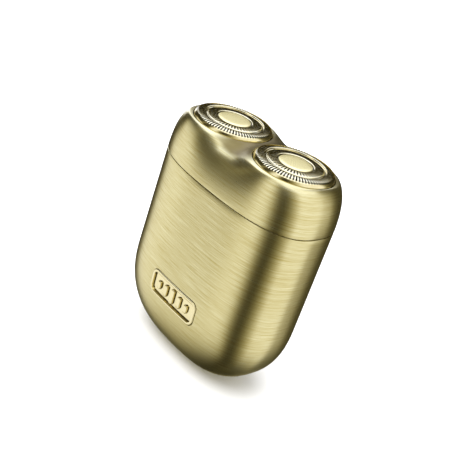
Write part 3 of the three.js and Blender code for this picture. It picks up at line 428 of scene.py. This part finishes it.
def brushed_gold():
    """Pale gold plating over zinc, belt brushed level round the body.

    The brushing spreads light up and down and keeps it sharp from side to side, so the eye gets
    upright bands; the single lines show as faint streaks. Level metal is left plain, and in the
    saddle between the caps it is also painted darker, as painted shade from the caps. Real lines are
    0.05 mm apart, too fine to see here, so they are drawn two to six times coarser.
    """
    made, tree, shader = new_material("brushed_pale_gold_plating")
    line_pitch, line_length = 0.12 * MM, 7 * MM
    band_pitch, band_length = 0.3 * MM, 16 * MM
    where = add_node(tree, "TexCoord")
    fine_place = add_node(
        tree,
        "Mapping",
        {"Scale": (1 / line_length, 1 / line_length, 1 / line_pitch)},
        {"Vector": where.outputs["Object"]},
    )
    fine = add_node(
        tree, "TexNoise", {"Scale": 1.0, "Detail": 3.0, "Roughness": 0.7}, {0: fine_place.outputs[0]}
    )
    broad_place = add_node(
        tree,
        "Mapping",
        {"Scale": (1 / band_length, 1 / band_length, 1 / band_pitch)},
        {"Vector": where.outputs["Object"]},
    )
    broad = add_node(tree, "TexNoise", {"Scale": 1.0, "Detail": 2.0}, {0: broad_place.outputs[0]})
    both = add_node(
        tree,
        "Mix",
        {"data_type": "FLOAT", 0: 0.35},
        {2: fine.outputs[0], 3: broad.outputs[0]},
    )
    facing = add_node(tree, "NewGeometry")
    facing_axes = add_node(tree, "SeparateXYZ", {}, {0: facing.outputs["Normal"]})
    level_share = add_node(
        tree,
        "MapRange",
        {"From Min": 0.72, "From Max": 0.97, "interpolation_type": "SMOOTHSTEP"},
        {"Value": facing_axes.outputs["Z"]},
    )
    streaks = add_node(
        tree,
        "Mix",
        {"data_type": "FLOAT", 3: 0.5},
        {0: level_share.outputs[0], 2: both.outputs[0]},
    )
    shade = add_node(
        tree,
        "MapRange",
        {"From Min": 0.3, "From Max": 0.7},
        {"Value": streaks.outputs[0]},
    )
    colour = add_node(
        tree,
        "Mix",
        {"data_type": "RGBA", 6: linear("#CDB965"), 7: linear("#FFF7BC")},
        {0: shade.outputs[0]},
    )
    # Painted shade: level metal near the middle, between the caps, is darkened towards #7A6A35.
    axes = add_node(tree, "SeparateXYZ", {}, {0: where.outputs["Object"]})
    off_centre = add_node(tree, "Math", {"operation": "ABSOLUTE"}, {0: axes.outputs["X"]})
    between_caps = add_node(
        tree,
        "MapRange",
        {"From Min": 9 * MM, "From Max": 3 * MM, "interpolation_type": "SMOOTHSTEP"},
        {"Value": off_centre.outputs[0]},
    )
    saddle_shade_share = add_node(
        tree,
        "Math",
        {"operation": "MULTIPLY"},
        {0: between_caps.outputs[0], 1: level_share.outputs[0]},
    )
    with_painted_saddle_shade = add_node(
        tree,
        "Mix",
        {"data_type": "RGBA", 7: linear("#7A6A35")},
        {0: saddle_shade_share.outputs[0], 6: colour.outputs[2]},
    )
    rough = add_node(
        tree,
        "MapRange",
        {"From Min": 0.3, "From Max": 0.7, "To Min": 0.34, "To Max": 0.26},
        {"Value": streaks.outputs[0]},
    )
    relief = add_node(
        tree,
        "Bump",
        {"Strength": 0.25, "Distance": 0.004 * MM},
        {"Height": fine.outputs[0]},
    )
    round_the_body = add_node(tree, "Tangent", {"direction_type": "RADIAL", "axis": "Z"})
    shader.inputs["Metallic"].default_value = 1.0
    shader.inputs["Anisotropic"].default_value = 0.65
    shader.inputs["Anisotropic Rotation"].default_value = 0.25
    tree.links.new(with_painted_saddle_shade.outputs[2], shader.inputs["Base Color"])
    tree.links.new(rough.outputs[0], shader.inputs["Roughness"])
    tree.links.new(relief.outputs[0], shader.inputs["Normal"])
    tree.links.new(round_the_body.outputs[0], shader.inputs["Tangent"])
    return made


BADGE_Z = 20.0
BADGE_SIZE = (19.6, 7.7)
BADGE_CORNER = 2.1
BUTTON_Z = 32.0
LENS_Z = 21.5
FIT_GAP = 0.12

LEVELS = body_levels()
BRUSHED_GOLD = brushed_gold()
body = drawn_tube("body_cup", len(LEVELS), body_outline)
fill_hole(body, lambda point: point.z < 0.001)
apply_modifier(body, "SOLIDIFY", thickness=WALL * MM, offset=-1, use_even_offset=True)
cut(body, rounded_block("port_cut", (0, 0, 0), (9.5, 3.8, 8), 1.88, 2))
cut(
    body,
    rounded_block(
        "badge_cut",
        (0, -24.1, BADGE_Z),
        (BADGE_SIZE[0] + 2 * FIT_GAP, 20, BADGE_SIZE[1] + 2 * FIT_GAP),
        BADGE_CORNER,
        1,
    ),
)
BUTTON_CUT = [(0, 10), (6.3, 10), (6.3, 14.38), (7.47, 14.38), (7.47, 20), (0, 20)]
cut(body, turned("button_cut", BUTTON_CUT, (0, 0, BUTTON_Z), (0, 1, 0)))
LENS_CUT = [(0, 10), (1.02, 10), (1.02, 20), (0, 20)]
cut(body, turned("lens_cut", LENS_CUT, (0, 0, LENS_Z), (0, 1, 0)))
turn_smooth(body)
finish_piece(body, BRUSHED_GOLD, "body", "brushed_gold", "body_shell")


# ------------------------------------------------------------------ badge plate
# A small stamped and buffed plate pressed into a pocket in the front wall, curved to match it. Five
# plain bars stand on its sunk panel.
BADGE_PROUD = 0.28
BADGE_RIM = 0.85
PANEL_DEPTH = 0.6
BAR_HEIGHTS = [2.4, 3.5, 4.6, 3.5, 2.4]
BAR_WIDTH = 1.6
BAR_PITCH = 3.0


def front_wall(x, z):
    """How far forward the front wall is at this place, in millimetres."""
    half_width = HALF_WIDTH * rounded_share(z, WIDTH_ROUNDING)
    half_depth = HALF_DEPTH * rounded_share(z, DEPTH_ROUNDING)
    return half_depth * (1 - abs(x / half_width) ** SQUARENESS) ** (1 / SQUARENESS)


def painted_corner_shade(tree, shader, colour, reach):
    """Paints shade into the plating in tight corners: an ambient occlusion mask darkens the colour
    there towards #5E4A1A.
    """
    openness = add_node(tree, "AmbientOcclusion", {"samples": 8, "Distance": reach})
    closed = add_node(
        tree,
        "MapRange",
        {"From Min": 0.95, "From Max": 0.35},
        {"Value": openness.outputs["AO"]},
    )
    # Painted shade: the colour is darkened where the ambient occlusion finds close surfaces.
    corner_shaded = add_node(
        tree,
        "Mix",
        {"data_type": "RGBA", 7: linear("#5E4A1A")},
        {0: closed.outputs[0], 6: colour},
    )
    tree.links.new(corner_shaded.outputs[2], shader.inputs["Base Color"])


def polished_gold():
    """The plating buffed to a soft mirror, with the faint haze that fingers leave."""
    made, tree, shader = new_material("polished_gold_plating")
    haze_size = 2.5 * MM
    where = add_node(tree, "TexCoord")
    haze = add_node(
        tree, "TexNoise", {"Scale": 1 / haze_size, "Detail": 4.0}, {0: where.outputs["Object"]}
    )
    colour = add_node(
        tree,
        "Mix",
        {"data_type": "RGBA", 6: linear("#F3E3A0"), 7: linear("#FDF1B8")},
        {0: haze.outputs[0]},
    )
    rough = add_node(tree, "MapRange", {"To Min": 0.1, "To Max": 0.2}, {"Value": haze.outputs[0]})
    shader.inputs["Metallic"].default_value = 1.0
    # Painted shade in the corners, from an ambient occlusion mask.
    painted_corner_shade(tree, shader, colour.outputs[2], 0.4 * MM)
    tree.links.new(rough.outputs[0], shader.inputs["Roughness"])
    return made


def badge():
    """Made flat at y = 0 with its face forward, then curved to the wall."""
    width, height = BADGE_SIZE
    plate = rounded_block("badge", (0, 0.55, BADGE_Z), (width, 1.1, height), BADGE_CORNER, 1)
    pick(plate, "FACE", lambda face: face.normal.y < -0.9)
    bpy.ops.mesh.bevel(offset=0.16 * MM, segments=3, affect="EDGES")
    bpy.ops.object.mode_set(mode="OBJECT")
    pick(plate, "FACE", lambda face: face.normal.y < -0.99)
    bpy.ops.mesh.inset(thickness=(BADGE_RIM - 0.3) * MM)
    bpy.ops.mesh.inset(thickness=0.12 * MM, depth=-0.06 * MM)
    bpy.ops.mesh.inset(thickness=0.1 * MM, depth=-(PANEL_DEPTH - 0.06) * MM)
    bpy.ops.object.mode_set(mode="OBJECT")
    bar_depth = PANEL_DEPTH + 0.2
    for i, bar_height in enumerate(BAR_HEIGHTS):
        x = (i - (len(BAR_HEIGHTS) - 1) / 2) * BAR_PITCH
        bar = rounded_block(
            "bar",
            (x, bar_depth / 2, BADGE_Z),
            (BAR_WIDTH, bar_depth, bar_height),
            0.6,
            1,
            6,
        )
        pick(bar, "FACE", lambda face: face.normal.y < -0.9)
        bpy.ops.mesh.bevel(offset=0.15 * MM, segments=3, affect="EDGES")
        bpy.ops.object.mode_set(mode="OBJECT")
        deselect()
        bar.select_set(True)
        plate.select_set(True)
        bpy.context.view_layer.objects.active = plate
        bpy.ops.object.join()
    columns, rows = 24, 10
    bpy.ops.object.mode_set(mode="EDIT")
    for k in range(1, columns):
        bpy.ops.mesh.select_all(action="SELECT")
        x = (k / columns - 0.5) * width * MM
        bpy.ops.mesh.bisect(plane_co=(x, 0, 0), plane_no=(1, 0, 0))
    for k in range(1, rows):
        bpy.ops.mesh.select_all(action="SELECT")
        z = (BADGE_Z + (k / rows - 0.5) * height) * MM
        bpy.ops.mesh.bisect(plane_co=(0, 0, z), plane_no=(0, 0, 1))
    bpy.ops.object.mode_set(mode="OBJECT")
    for vertex in plate.data.vertices:
        x, y, z = vertex.co / MM
        vertex.co.y = (y - front_wall(x, z) - BADGE_PROUD) * MM
    turn_smooth(plate, 35)
    return plate


POLISHED_GOLD = polished_gold()
finish_piece(badge(), POLISHED_GOLD, "body", "brushed_gold", "badge_plate")


# ------------------------------------------------------------------ power button
# A dished metal cap, turned and plated, that sits inside a polished ring pressed into the back
# wall. Its stem goes through a silicone diaphragm to the switch.
BACK = (0, 1, 0)
BUTTON_PROFILE = [
    (0, 10.2), (1.3, 10.2), (1.45, 10.35), (1.45, 13.5), (6.1, 13.5), (6.18, 13.6), (6.18, 14.3),
    (5.8, 14.3), (5.8, 15.12), (5.74, 15.28), (5.6, 15.36), (5.4, 15.38), (5.2, 15.34),
    (4.2, 15.16), (3.0, 15.03), (1.5, 14.95), (0, 14.93),
]
BEZEL_PROFILE = [
    (6.0, 14.5), (7.35, 14.5), (7.35, 15.4), (7.27, 15.58), (7.1, 15.67), (6.68, 15.7),
    (6.25, 15.67), (6.08, 15.58), (6.0, 15.4), (6.0, 14.5),
]
LENS_PROFILE = [(0, 9), (0.9, 9), (0.9, 15.15), (0.82, 15.26), (0.6, 15.3), (0, 15.32)]
button = turned("button_cap", BUTTON_PROFILE, (0, 0, BUTTON_Z), BACK)
turn_smooth(button)
finish_piece(button, BRUSHED_GOLD, "button", "brushed_gold", "power_button")
bezel = turned("button_ring", BEZEL_PROFILE, (0, 0, BUTTON_Z), BACK)
turn_smooth(bezel, 40)
finish_piece(bezel, POLISHED_GOLD, "body", "polished_gold", "button_bezel")


def frosted_acrylic():
    """A light pipe of frosted acrylic: milky, because fine pits scatter the light."""
    made, tree, shader = new_material("frosted_acrylic")
    pit_size = 0.05 * MM
    where = add_node(tree, "TexCoord")
    pits = add_node(tree, "TexNoise", {"Scale": 1 / pit_size}, {0: where.outputs["Object"]})
    rough = add_node(tree, "MapRange", {"To Min": 0.35, "To Max": 0.5}, {"Value": pits.outputs[0]})
    shader.inputs["Base Color"].default_value = linear("#EDEBE2")
    shader.inputs["IOR"].default_value = 1.49
    tree.links.new(rough.outputs[0], shader.inputs["Roughness"])
    return made


lens = turned("light_pipe", LENS_PROFILE, (0, 0, LENS_Z), BACK, 48)
turn_smooth(lens)
finish_piece(lens, frosted_acrylic(), "body", "clear_lens", "indicator_lens")


# ------------------------------------------------------------------ charging socket
# A reversible charging receptacle: a drawn steel shell round a black nylon tongue with gold
# plated contacts. It is soldered to its own small board behind the foot.
def drawn_steel():
    """Cold drawn steel, bright, with faint lines along the drawing."""
    made, tree, shader = new_material("drawn_steel")
    line_pitch, line_length = 0.1 * MM, 3 * MM
    where = add_node(tree, "TexCoord")
    place = add_node(
        tree,
        "Mapping",
        {"Scale": (1 / line_pitch, 1 / line_pitch, 1 / line_length)},
        {"Vector": where.outputs["Object"]},
    )
    lines = add_node(tree, "TexNoise", {"Scale": 1.0, "Detail": 2.0}, {0: place.outputs[0]})
    colour = add_node(
        tree,
        "Mix",
        {"data_type": "RGBA", 6: linear("#A9ABAE"), 7: linear("#C6C8CA")},
        {0: lines.outputs[0]},
    )
    rough = add_node(tree, "MapRange", {"To Min": 0.2, "To Max": 0.34}, {"Value": lines.outputs[0]})
    shader.inputs["Metallic"].default_value = 1.0
    tree.links.new(colour.outputs[2], shader.inputs["Base Color"])
    tree.links.new(rough.outputs[0], shader.inputs["Roughness"])
    return made


def moulded_plastic(name, dark, light, roughness):
    """Injection moulded plastic with the fine spark texture of its tool."""
    made, tree, shader = new_material(name)
    grain_size = 0.15 * MM
    where = add_node(tree, "TexCoord")
    grain = add_node(
        tree, "TexNoise", {"Scale": 1 / grain_size, "Detail": 3.0}, {0: where.outputs["Object"]}
    )
    colour = add_node(
        tree,
        "Mix",
        {"data_type": "RGBA", 6: linear(dark), 7: linear(light)},
        {0: grain.outputs[0]},
    )
    rough = add_node(
        tree,
        "MapRange",
        {"To Min": roughness - 0.06, "To Max": roughness + 0.06},
        {"Value": grain.outputs[0]},
    )
    relief = add_node(
        tree, "Bump", {"Strength": 0.3, "Distance": 0.01 * MM}, {"Height": grain.outputs[0]}
    )
    tree.links.new(colour.outputs[2], shader.inputs["Base Color"])
    tree.links.new(rough.outputs[0], shader.inputs["Roughness"])
    tree.links.new(relief.outputs[0], shader.inputs["Normal"])
    return made


DRAWN_STEEL = drawn_steel()
BLACK_NYLON = moulded_plastic("black_glass_filled_nylon", "#19191B", "#232326", 0.48)
SOCKET_SIZE = (8.94, 3.26)
SOCKET_Z = (0.8, 8.0)
TONGUE_Z = (1.5, 6.7)
TONGUE_THICKNESS = 0.7


def upright_block(name, size_x, size_y, z_range, radius, segments=10):
    """A block on the shaver's own axis, with its four standing edges rounded. Millimetres."""
    middle = sum(z_range) / 2
    size = (size_x, size_y, z_range[1] - z_range[0])
    return rounded_block(name, (0, 0, middle), size, radius, 2, segments)


socket = upright_block("socket_can", *SOCKET_SIZE, SOCKET_Z, 1.6)
cut(socket, upright_block("mouth", SOCKET_SIZE[0] - 0.6, SOCKET_SIZE[1] - 0.6, (0, 7.7), 1.3))
turn_smooth(socket)
finish_piece(socket, DRAWN_STEEL, "body", "steel", "socket_shell")

tongue = upright_block("socket_insert", 8.2, 2.5, (6.6, 7.65), 1.2)
blade = upright_block("blade", 6.7, TONGUE_THICKNESS, TONGUE_Z, 0.3, 4)
apply_modifier(tongue, "BOOLEAN", operation="UNION", solver="EXACT", object=blade)
bpy.data.objects.remove(blade)
turn_smooth(tongue)
finish_piece(tongue, BLACK_NYLON, "body", "black_plastic", "socket_tongue")


def contacts():
    """Twelve flat contacts on each face of the tongue, joined as one piece."""
    pitch, width, proud, a_side = 0.5, 0.28, 0.05, 12
    tongue_face = TONGUE_THICKNESS / 2
    strips = []
    for side in (-1, 1):
        for k in range(a_side):
            x = (k - (a_side - 1) / 2) * pitch
            strip = upright_block("contact", width, proud, (1.9, 5.6), 0.01, 1)
            for vertex in strip.data.vertices:
                vertex.co += Vector((x, side * (tongue_face + proud / 2 + 0.01), 0)) * MM
            strips.append(strip)
    deselect()
    for strip in strips:
        strip.select_set(True)
    bpy.context.view_layer.objects.active = strips[0]
    bpy.ops.object.join()
    strips[0].name = "socket_contacts"
    return strips[0]


finish_piece(contacts(), POLISHED_GOLD, "body", "polished_gold")


# ------------------------------------------------------------------ inner works
# Everything that goes in from the top before the deck: the moulded cradle with the pouch cell,
# boards and switch, the flat-sided motor hung from its plate, and the clipped wires.
def dress(node, material, edge=0.12):
    """Rounds a carried-over part's edges a little and gives it its material."""
    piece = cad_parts[node]
    for face in piece.data.polygons:
        face.use_smooth = True
    weld = piece.modifiers.new("weld", "WELD")
    weld.merge_threshold = 0.002 * MM
    round_edges = piece.modifiers.new("round_edges", "BEVEL")
    round_edges.width = edge * MM
    round_edges.segments = 2
    round_edges.angle_limit = math.radians(35)
    even = piece.modifiers.new("even_shading", "WEIGHTED_NORMAL")
    even.weight = 80
    piece.data.materials.clear()
    piece.data.materials.append(material)


def solder_mask():
    """Green solder mask over copper: the tracks show through it as a lighter green."""
    made, tree, shader = new_material("green_solder_mask")
    track_pitch = 0.6 * MM
    where = add_node(tree, "TexCoord")
    tracks = add_node(
        tree,
        "TexWave",
        {"Scale": 0.05 / track_pitch, "Distortion": 6.0, "Detail": 1.0, "bands_direction": "Z"},
        {0: where.outputs["Object"]},
    )
    colour = add_node(
        tree,
        "Mix",
        {"data_type": "RGBA", 6: linear("#123F28"), 7: linear("#1F6B42")},
        {0: tracks.outputs[1]},
    )
    shader.inputs["Roughness"].default_value = 0.3
    shader.inputs["IOR"].default_value = 1.5
    tree.links.new(colour.outputs[2], shader.inputs["Base Color"])
    return made


def laminate_pouch():
    """The cell's aluminium laminate pouch, silver, with shallow wrinkles from the vacuum."""
    made, tree, shader = new_material("aluminium_laminate_pouch")
    wrinkle = 4 * MM
    where = add_node(tree, "TexCoord")
    folds = add_node(
        tree, "TexNoise", {"Scale": 1 / wrinkle, "Detail": 4.0}, {0: where.outputs["Object"]}
    )
    relief = add_node(
        tree, "Bump", {"Strength": 0.6, "Distance": 0.15 * MM}, {"Height": folds.outputs[0]}
    )
    shader.inputs["Base Color"].default_value = linear("#B4B7BB")
    shader.inputs["Metallic"].default_value = 0.9
    shader.inputs["Roughness"].default_value = 0.35
    tree.links.new(relief.outputs[0], shader.inputs["Normal"])
    return made


WHITE_ACETAL = moulded_plastic("white_acetal", "#DAD7CD", "#EAE8E0", 0.4)
RED_SLEEVE = moulded_plastic("red_wire_sleeve", "#8E1A12", "#A8261B", 0.45)
BLACK_SLEEVE = moulded_plastic("black_wire_sleeve", "#141415", "#1E1E20", 0.45)
SILICONE = moulded_plastic("black_silicone", "#242426", "#303033", 0.7)
CORE_IRON = moulded_plastic("stacked_core_iron", "#3A3B3E", "#55565A", 0.5)
SOLDER_MASK = solder_mask()
INNER_MATERIALS = {
    "inner_frame": BLACK_NYLON,
    "battery_cell": laminate_pouch(),
    "main_board": SOLDER_MASK,
    "charge_board": SOLDER_MASK,
    "switch_base": DRAWN_STEEL,
    "switch_plunger": BLACK_NYLON,
    "motor_can": DRAWN_STEEL,
    "motor_end_cap": BLACK_NYLON,
    "motor_shaft": DRAWN_STEEL,
    "motor_armature": CORE_IRON,
    "motor_plate": WHITE_ACETAL,
    "pinion": WHITE_ACETAL,
    "button_seal": SILICONE,
    "battery_lead_left": RED_SLEEVE,
    "motor_lead_left": RED_SLEEVE,
    "battery_lead_right": BLACK_SLEEVE,
    "motor_lead_right": BLACK_SLEEVE,
}
for inner_node, inner_material in INNER_MATERIALS.items():
    dress(inner_node, inner_material)
for number in range(1, 5):
    dress(f"plate_screw_{number}", DRAWN_STEEL, 0.08)


# ------------------------------------------------------------------ deck and drive
# The black moulded deck closes the body; its neck centres the head and its magnets hold it. Two
# white acetal gears stand on steel axles, and a sprung coupler slides in each gear's tube.
def nickel_plate():
    """Nickel plated magnet steel: a warm grey mirror, slightly frosted by the barrel plating."""
    made, tree, shader = new_material("nickel_plating")
    frost_size = 0.4 * MM
    where = add_node(tree, "TexCoord")
    frost = add_node(tree, "TexNoise", {"Scale": 1 / frost_size}, {0: where.outputs["Object"]})
    rough = add_node(tree, "MapRange", {"To Min": 0.16, "To Max": 0.28}, {"Value": frost.outputs[0]})
    shader.inputs["Base Color"].default_value = linear("#BDB8AE")
    shader.inputs["Metallic"].default_value = 1.0
    tree.links.new(rough.outputs[0], shader.inputs["Roughness"])
    return made


NICKEL = nickel_plate()
dress("deck", BLACK_NYLON)
dress("deck_seal", SILICONE)
for end in ("front", "back"):
    dress(f"deck_screw_{end}", DRAWN_STEEL, 0.08)
for side in ("left", "right"):
    dress(f"magnet_{side}", NICKEL)
    dress(f"shaft_seal_{side}", SILICONE)
    dress(f"axle_{side}", DRAWN_STEEL)
    dress(f"drive_gear_{side}", WHITE_ACETAL, 0.06)
    dress(f"coupler_{side}", WHITE_ACETAL)
    dress(f"coupler_spring_{side}", DRAWN_STEEL, 0.02)


# ------------------------------------------------------------------ head shell
# The lift-off head is die cast, plated and brushed like the body. Its shoulder rounds up to two
# lobes that hug the foil caps, with a waist between them and a shallow saddle across the top.
HEAD_TOP_Z = 67.0
SHOULDER_HEIGHT = HEAD_TOP_Z - SEAM_Z
TOP_HALF_WIDTH = 23.95
TOP_HALF_DEPTH = 13.15
TOP_SQUARENESS = 3.0
WAIST_PINCH = 0.2
WAIST_REACH = 9.0
SADDLE_DIP = 1.6
SADDLE_REACH = 4.6
SADDLE_BLEND = 1.2
CAP_X = 12.5
BORE_R = 11.45
SHOULDER_STEPS = 30
TOP_STEPS = 14
CAVITY_TOP_Z = 62.8
CAVITY_STEPS = 13


def saddle(x, y):
    """How far the top dips: nothing beside a cap, most in the waist between the caps."""
    to_left = math.hypot(x + CAP_X, y) - BORE_R
    to_right = math.hypot(x - CAP_X, y) - BORE_R
    blend = math.exp(-to_left / SADDLE_BLEND) + math.exp(-to_right / SADDLE_BLEND)
    t = min(max(-SADDLE_BLEND * math.log(blend) / SADDLE_REACH, 0), 1)
    return SADDLE_DIP * t * t * (3 - 2 * t)


def top_edge(angle):
    """The lobed outline where the shoulder meets the top."""
    x, y = squircle(angle, TOP_HALF_WIDTH, TOP_HALF_DEPTH, TOP_SQUARENESS)
    return x, y * (1 - WAIST_PINCH * math.exp(-((x / WAIST_REACH) ** 2)))


def shoulder(angle, climb, inset=0.0):
    """The point this far up the shoulder's curve, moved in by the inset."""
    x0, y0 = squircle(angle, HALF_WIDTH, HALF_DEPTH)
    x1, y1 = top_edge(angle)
    lean = 1 - math.cos(climb)
    x, y = x0 + (x1 - x0) * lean, y0 + (y1 - y0) * lean
    shrink = 1 - inset / math.hypot(x, y)
    rise = math.sin(climb)
    return x * shrink, y * shrink, SEAM_Z + SHOULDER_HEIGHT * rise - saddle(x, y) * rise**3


def head_outline(angle, level):
    """Two rings turn the lower edge, the next climb the shoulder, and the last cross the top."""
    if level < 2:
        x, y, _ = shoulder(angle, 0, (0.16, 0.04)[level])
        return x, y, SEAM_Z + SEAM_HALF_GAP + (0, 0.06)[level]
    step = level - 1
    if step <= SHOULDER_STEPS:
        return shoulder(angle, math.pi / 2 * step / SHOULDER_STEPS)
    x1, y1 = top_edge(angle)
    share = 1 - (step - SHOULDER_STEPS) / TOP_STEPS
    x, y = x1 * share, y1 * share
    return x, y, HEAD_TOP_Z - saddle(x, y)


def cavity_outline(angle, level):
    """The hollow: straight below the seam, then following the shoulder up to its flat roof."""
    if level == 0:
        x, y, _ = shoulder(angle, 0, WALL)
        return x, y, SEAM_Z - 1
    steepest = math.asin((CAVITY_TOP_Z - SEAM_Z) / SHOULDER_HEIGHT)
    share = level / (CAVITY_STEPS - 1)
    x, y, _ = shoulder(angle, steepest * share, WALL)
    return x, y, SEAM_Z + (CAVITY_TOP_Z - SEAM_Z) * math.sin(steepest * share) / math.sin(steepest)


head = drawn_tube("head_cover", SHOULDER_STEPS + TOP_STEPS + 1, head_outline)
innermost = max(TOP_HALF_WIDTH, TOP_HALF_DEPTH) / TOP_STEPS * 1.01
fill_hole(head, lambda point: point.z < SEAM_Z + SEAM_HALF_GAP + 0.001)
fill_hole(head, lambda point: point.z > CAVITY_TOP_Z and point.xy.length < innermost)
cavity = drawn_tube("cavity", CAVITY_STEPS, cavity_outline)
fill_hole(cavity, lambda point: point.z < SEAM_Z)
fill_hole(cavity, lambda point: point.z > CAVITY_TOP_Z - 0.001)
cut(head, cavity)
BORE_MOUTH_R = BORE_R + 0.2
BORE_PROFILE = [
    (0, 60), (BORE_R, 60), (BORE_R, 66.8), (BORE_MOUTH_R, 67.1), (BORE_MOUTH_R, 72), (0, 72),
]
for side in (-1, 1):
    cut(head, turned("bore_cut", BORE_PROFILE, (side * CAP_X, 0, 0), (0, 0, 1), 144))
turn_smooth(head)
finish_piece(head, BRUSHED_GOLD, "head", "brushed_gold", "head_shell")
dress("retainer_plate", BLACK_NYLON)
for side in ("left", "right"):
    dress(f"keeper_{side}", NICKEL)
for end in ("front", "back"):
    dress(f"retainer_screw_{end}", DRAWN_STEEL, 0.08)


# ------------------------------------------------------------------ foil caps and cutters
# Each cap is a stamped and plated foil. Two tracks of fine radial slots let hair in to the blades
# that spin just under them; a groove parts the tracks, and a satin disc fills the middle.
CAP_TOP_Z = 68.3
CAP_R = 11.25
STEPS = 400  # faces round a cap; the slots' pitch and width are counted in them
OUTER_PITCH, OUTER_WIDTH = 5, 3
INNER_PITCH, INNER_WIDTH = 8, 4
OUTER_TRACK = (8.65, 10.85)
INNER_TRACK = (5.45, 7.4)
FOIL_THICKNESS = 0.28
SLOT_REACH_DOWN = 0.5  # how far the outer slots run down the rounded rim
CAP_PROFILE = [
    (4.95, -0.7), (4.95, -0.12), (5.02, -0.04), (5.15, 0), (5.45, 0), (6.1, -0.02), (6.75, -0.06),
    (7.4, -0.11), (7.55, -0.13), (7.66, -0.17), (7.74, -0.3), (7.86, -0.36), (8.2, -0.36), (8.32, -0.3),
    (8.4, -0.05), (8.5, 0), (8.65, 0), (9.5, -0.06), (10.2, -0.13), (10.42, -0.18), (10.6, -0.27),
    (10.8, -0.42), (10.98, -0.66), (11.12, -0.92), (11.21, -1.15), (CAP_R, -1.4), (CAP_R, -3.2),
    (11.9, -3.2), (11.9, -4.1),
]
DISC_PROFILE = [
    (0, -0.5), (4.6, -0.5), (4.7, -0.42), (4.7, -0.22), (4.64, -0.12), (4.5, -0.07), (3.2, -0.03),
    (1.6, -0.01), (0, 0),
]


def foil_cap(name, x):
    """The stamped cap, spun as one skin, slotted, then given the foil's thickness."""
    cap = turned(name, CAP_PROFILE, (x, 0, CAP_TOP_Z), (0, 0, 1), STEPS)

    def in_slot(face):
        centre = face.center / MM
        radius = math.hypot(centre.x - x, centre.y)
        if centre.z < CAP_TOP_Z - SLOT_REACH_DOWN:
            return False
        step = math.floor(math.atan2(centre.y, centre.x - x) / (2 * math.pi) * STEPS)
        outer = OUTER_TRACK[0] < radius < OUTER_TRACK[1] and step % OUTER_PITCH < OUTER_WIDTH
        inner = INNER_TRACK[0] < radius < INNER_TRACK[1] and step % INNER_PITCH < INNER_WIDTH
        return outer or inner

    pick(cap, "FACE", in_slot)
    bpy.ops.mesh.delete(type="FACE")
    bpy.ops.object.mode_set(mode="OBJECT")
    apply_modifier(cap, "SOLIDIFY", thickness=FOIL_THICKNESS * MM, offset=-1, use_even_offset=True)
    turn_smooth(cap, 35)
    return cap


def satin_gold():
    """The same plating over a bead blasted disc.

    The blasting scatters light so widely that the disc looks soft and even, with no clear mirror
    image and a share of light that comes back as it would from paint.
    """
    made, tree, shader = new_material("satin_gold_plating")
    bead_size = 0.12 * MM
    where = add_node(tree, "TexCoord")
    beads = add_node(
        tree, "TexNoise", {"Scale": 1 / bead_size, "Detail": 2.0}, {0: where.outputs["Object"]}
    )
    colour = add_node(
        tree,
        "Mix",
        {"data_type": "RGBA", 6: linear("#EFE098"), 7: linear("#F8EDAC")},
        {0: beads.outputs[0]},
    )
    rough = add_node(tree, "MapRange", {"To Min": 0.22, "To Max": 0.34}, {"Value": beads.outputs[0]})
    relief = add_node(
        tree, "Bump", {"Strength": 0.25, "Distance": 0.004 * MM}, {"Height": beads.outputs[0]}
    )
    shader.inputs["Metallic"].default_value = 0.75
    # Painted shade in the corners, from an ambient occlusion mask.
    painted_corner_shade(tree, shader, colour.outputs[2], 0.7 * MM)
    tree.links.new(rough.outputs[0], shader.inputs["Roughness"])
    tree.links.new(relief.outputs[0], shader.inputs["Normal"])
    return made


def cutter_steel():
    """Ground stainless blades, dark with oil between the ground faces."""
    made, tree, shader = new_material("oiled_stainless_blades")
    film_size = 1.2 * MM
    where = add_node(tree, "TexCoord")
    film = add_node(
        tree, "TexNoise", {"Scale": 1 / film_size, "Detail": 3.0}, {0: where.outputs["Object"]}
    )
    colour = add_node(
        tree,
        "Mix",
        {"data_type": "RGBA", 6: linear("#4A4B4D"), 7: linear("#6E7073")},
        {0: film.outputs[0]},
    )
    rough = add_node(tree, "MapRange", {"To Min": 0.25, "To Max": 0.4}, {"Value": film.outputs[0]})
    shader.inputs["Metallic"].default_value = 1.0
    tree.links.new(colour.outputs[2], shader.inputs["Base Color"])
    tree.links.new(rough.outputs[0], shader.inputs["Roughness"])
    return made


SATIN_GOLD = satin_gold()
CUTTER_STEEL = cutter_steel()
for side, sign in (("left", -1), ("right", 1)):
    cap = foil_cap(f"foil_{side}", sign * CAP_X)
    finish_piece(cap, POLISHED_GOLD, f"cap_{side}", "polished_gold", f"foil_cap_{side}")
    disc = turned(f"disc_{side}", DISC_PROFILE, (sign * CAP_X, 0, CAP_TOP_Z), (0, 0, 1), 96)
    turn_smooth(disc, 40)
    finish_piece(disc, SATIN_GOLD, f"cap_{side}", "polished_gold", f"cap_disc_{side}")
    dress(f"cutter_blades_{side}", CUTTER_STEEL, 0.05)
    dress(f"cutter_hub_{side}", WHITE_ACETAL)
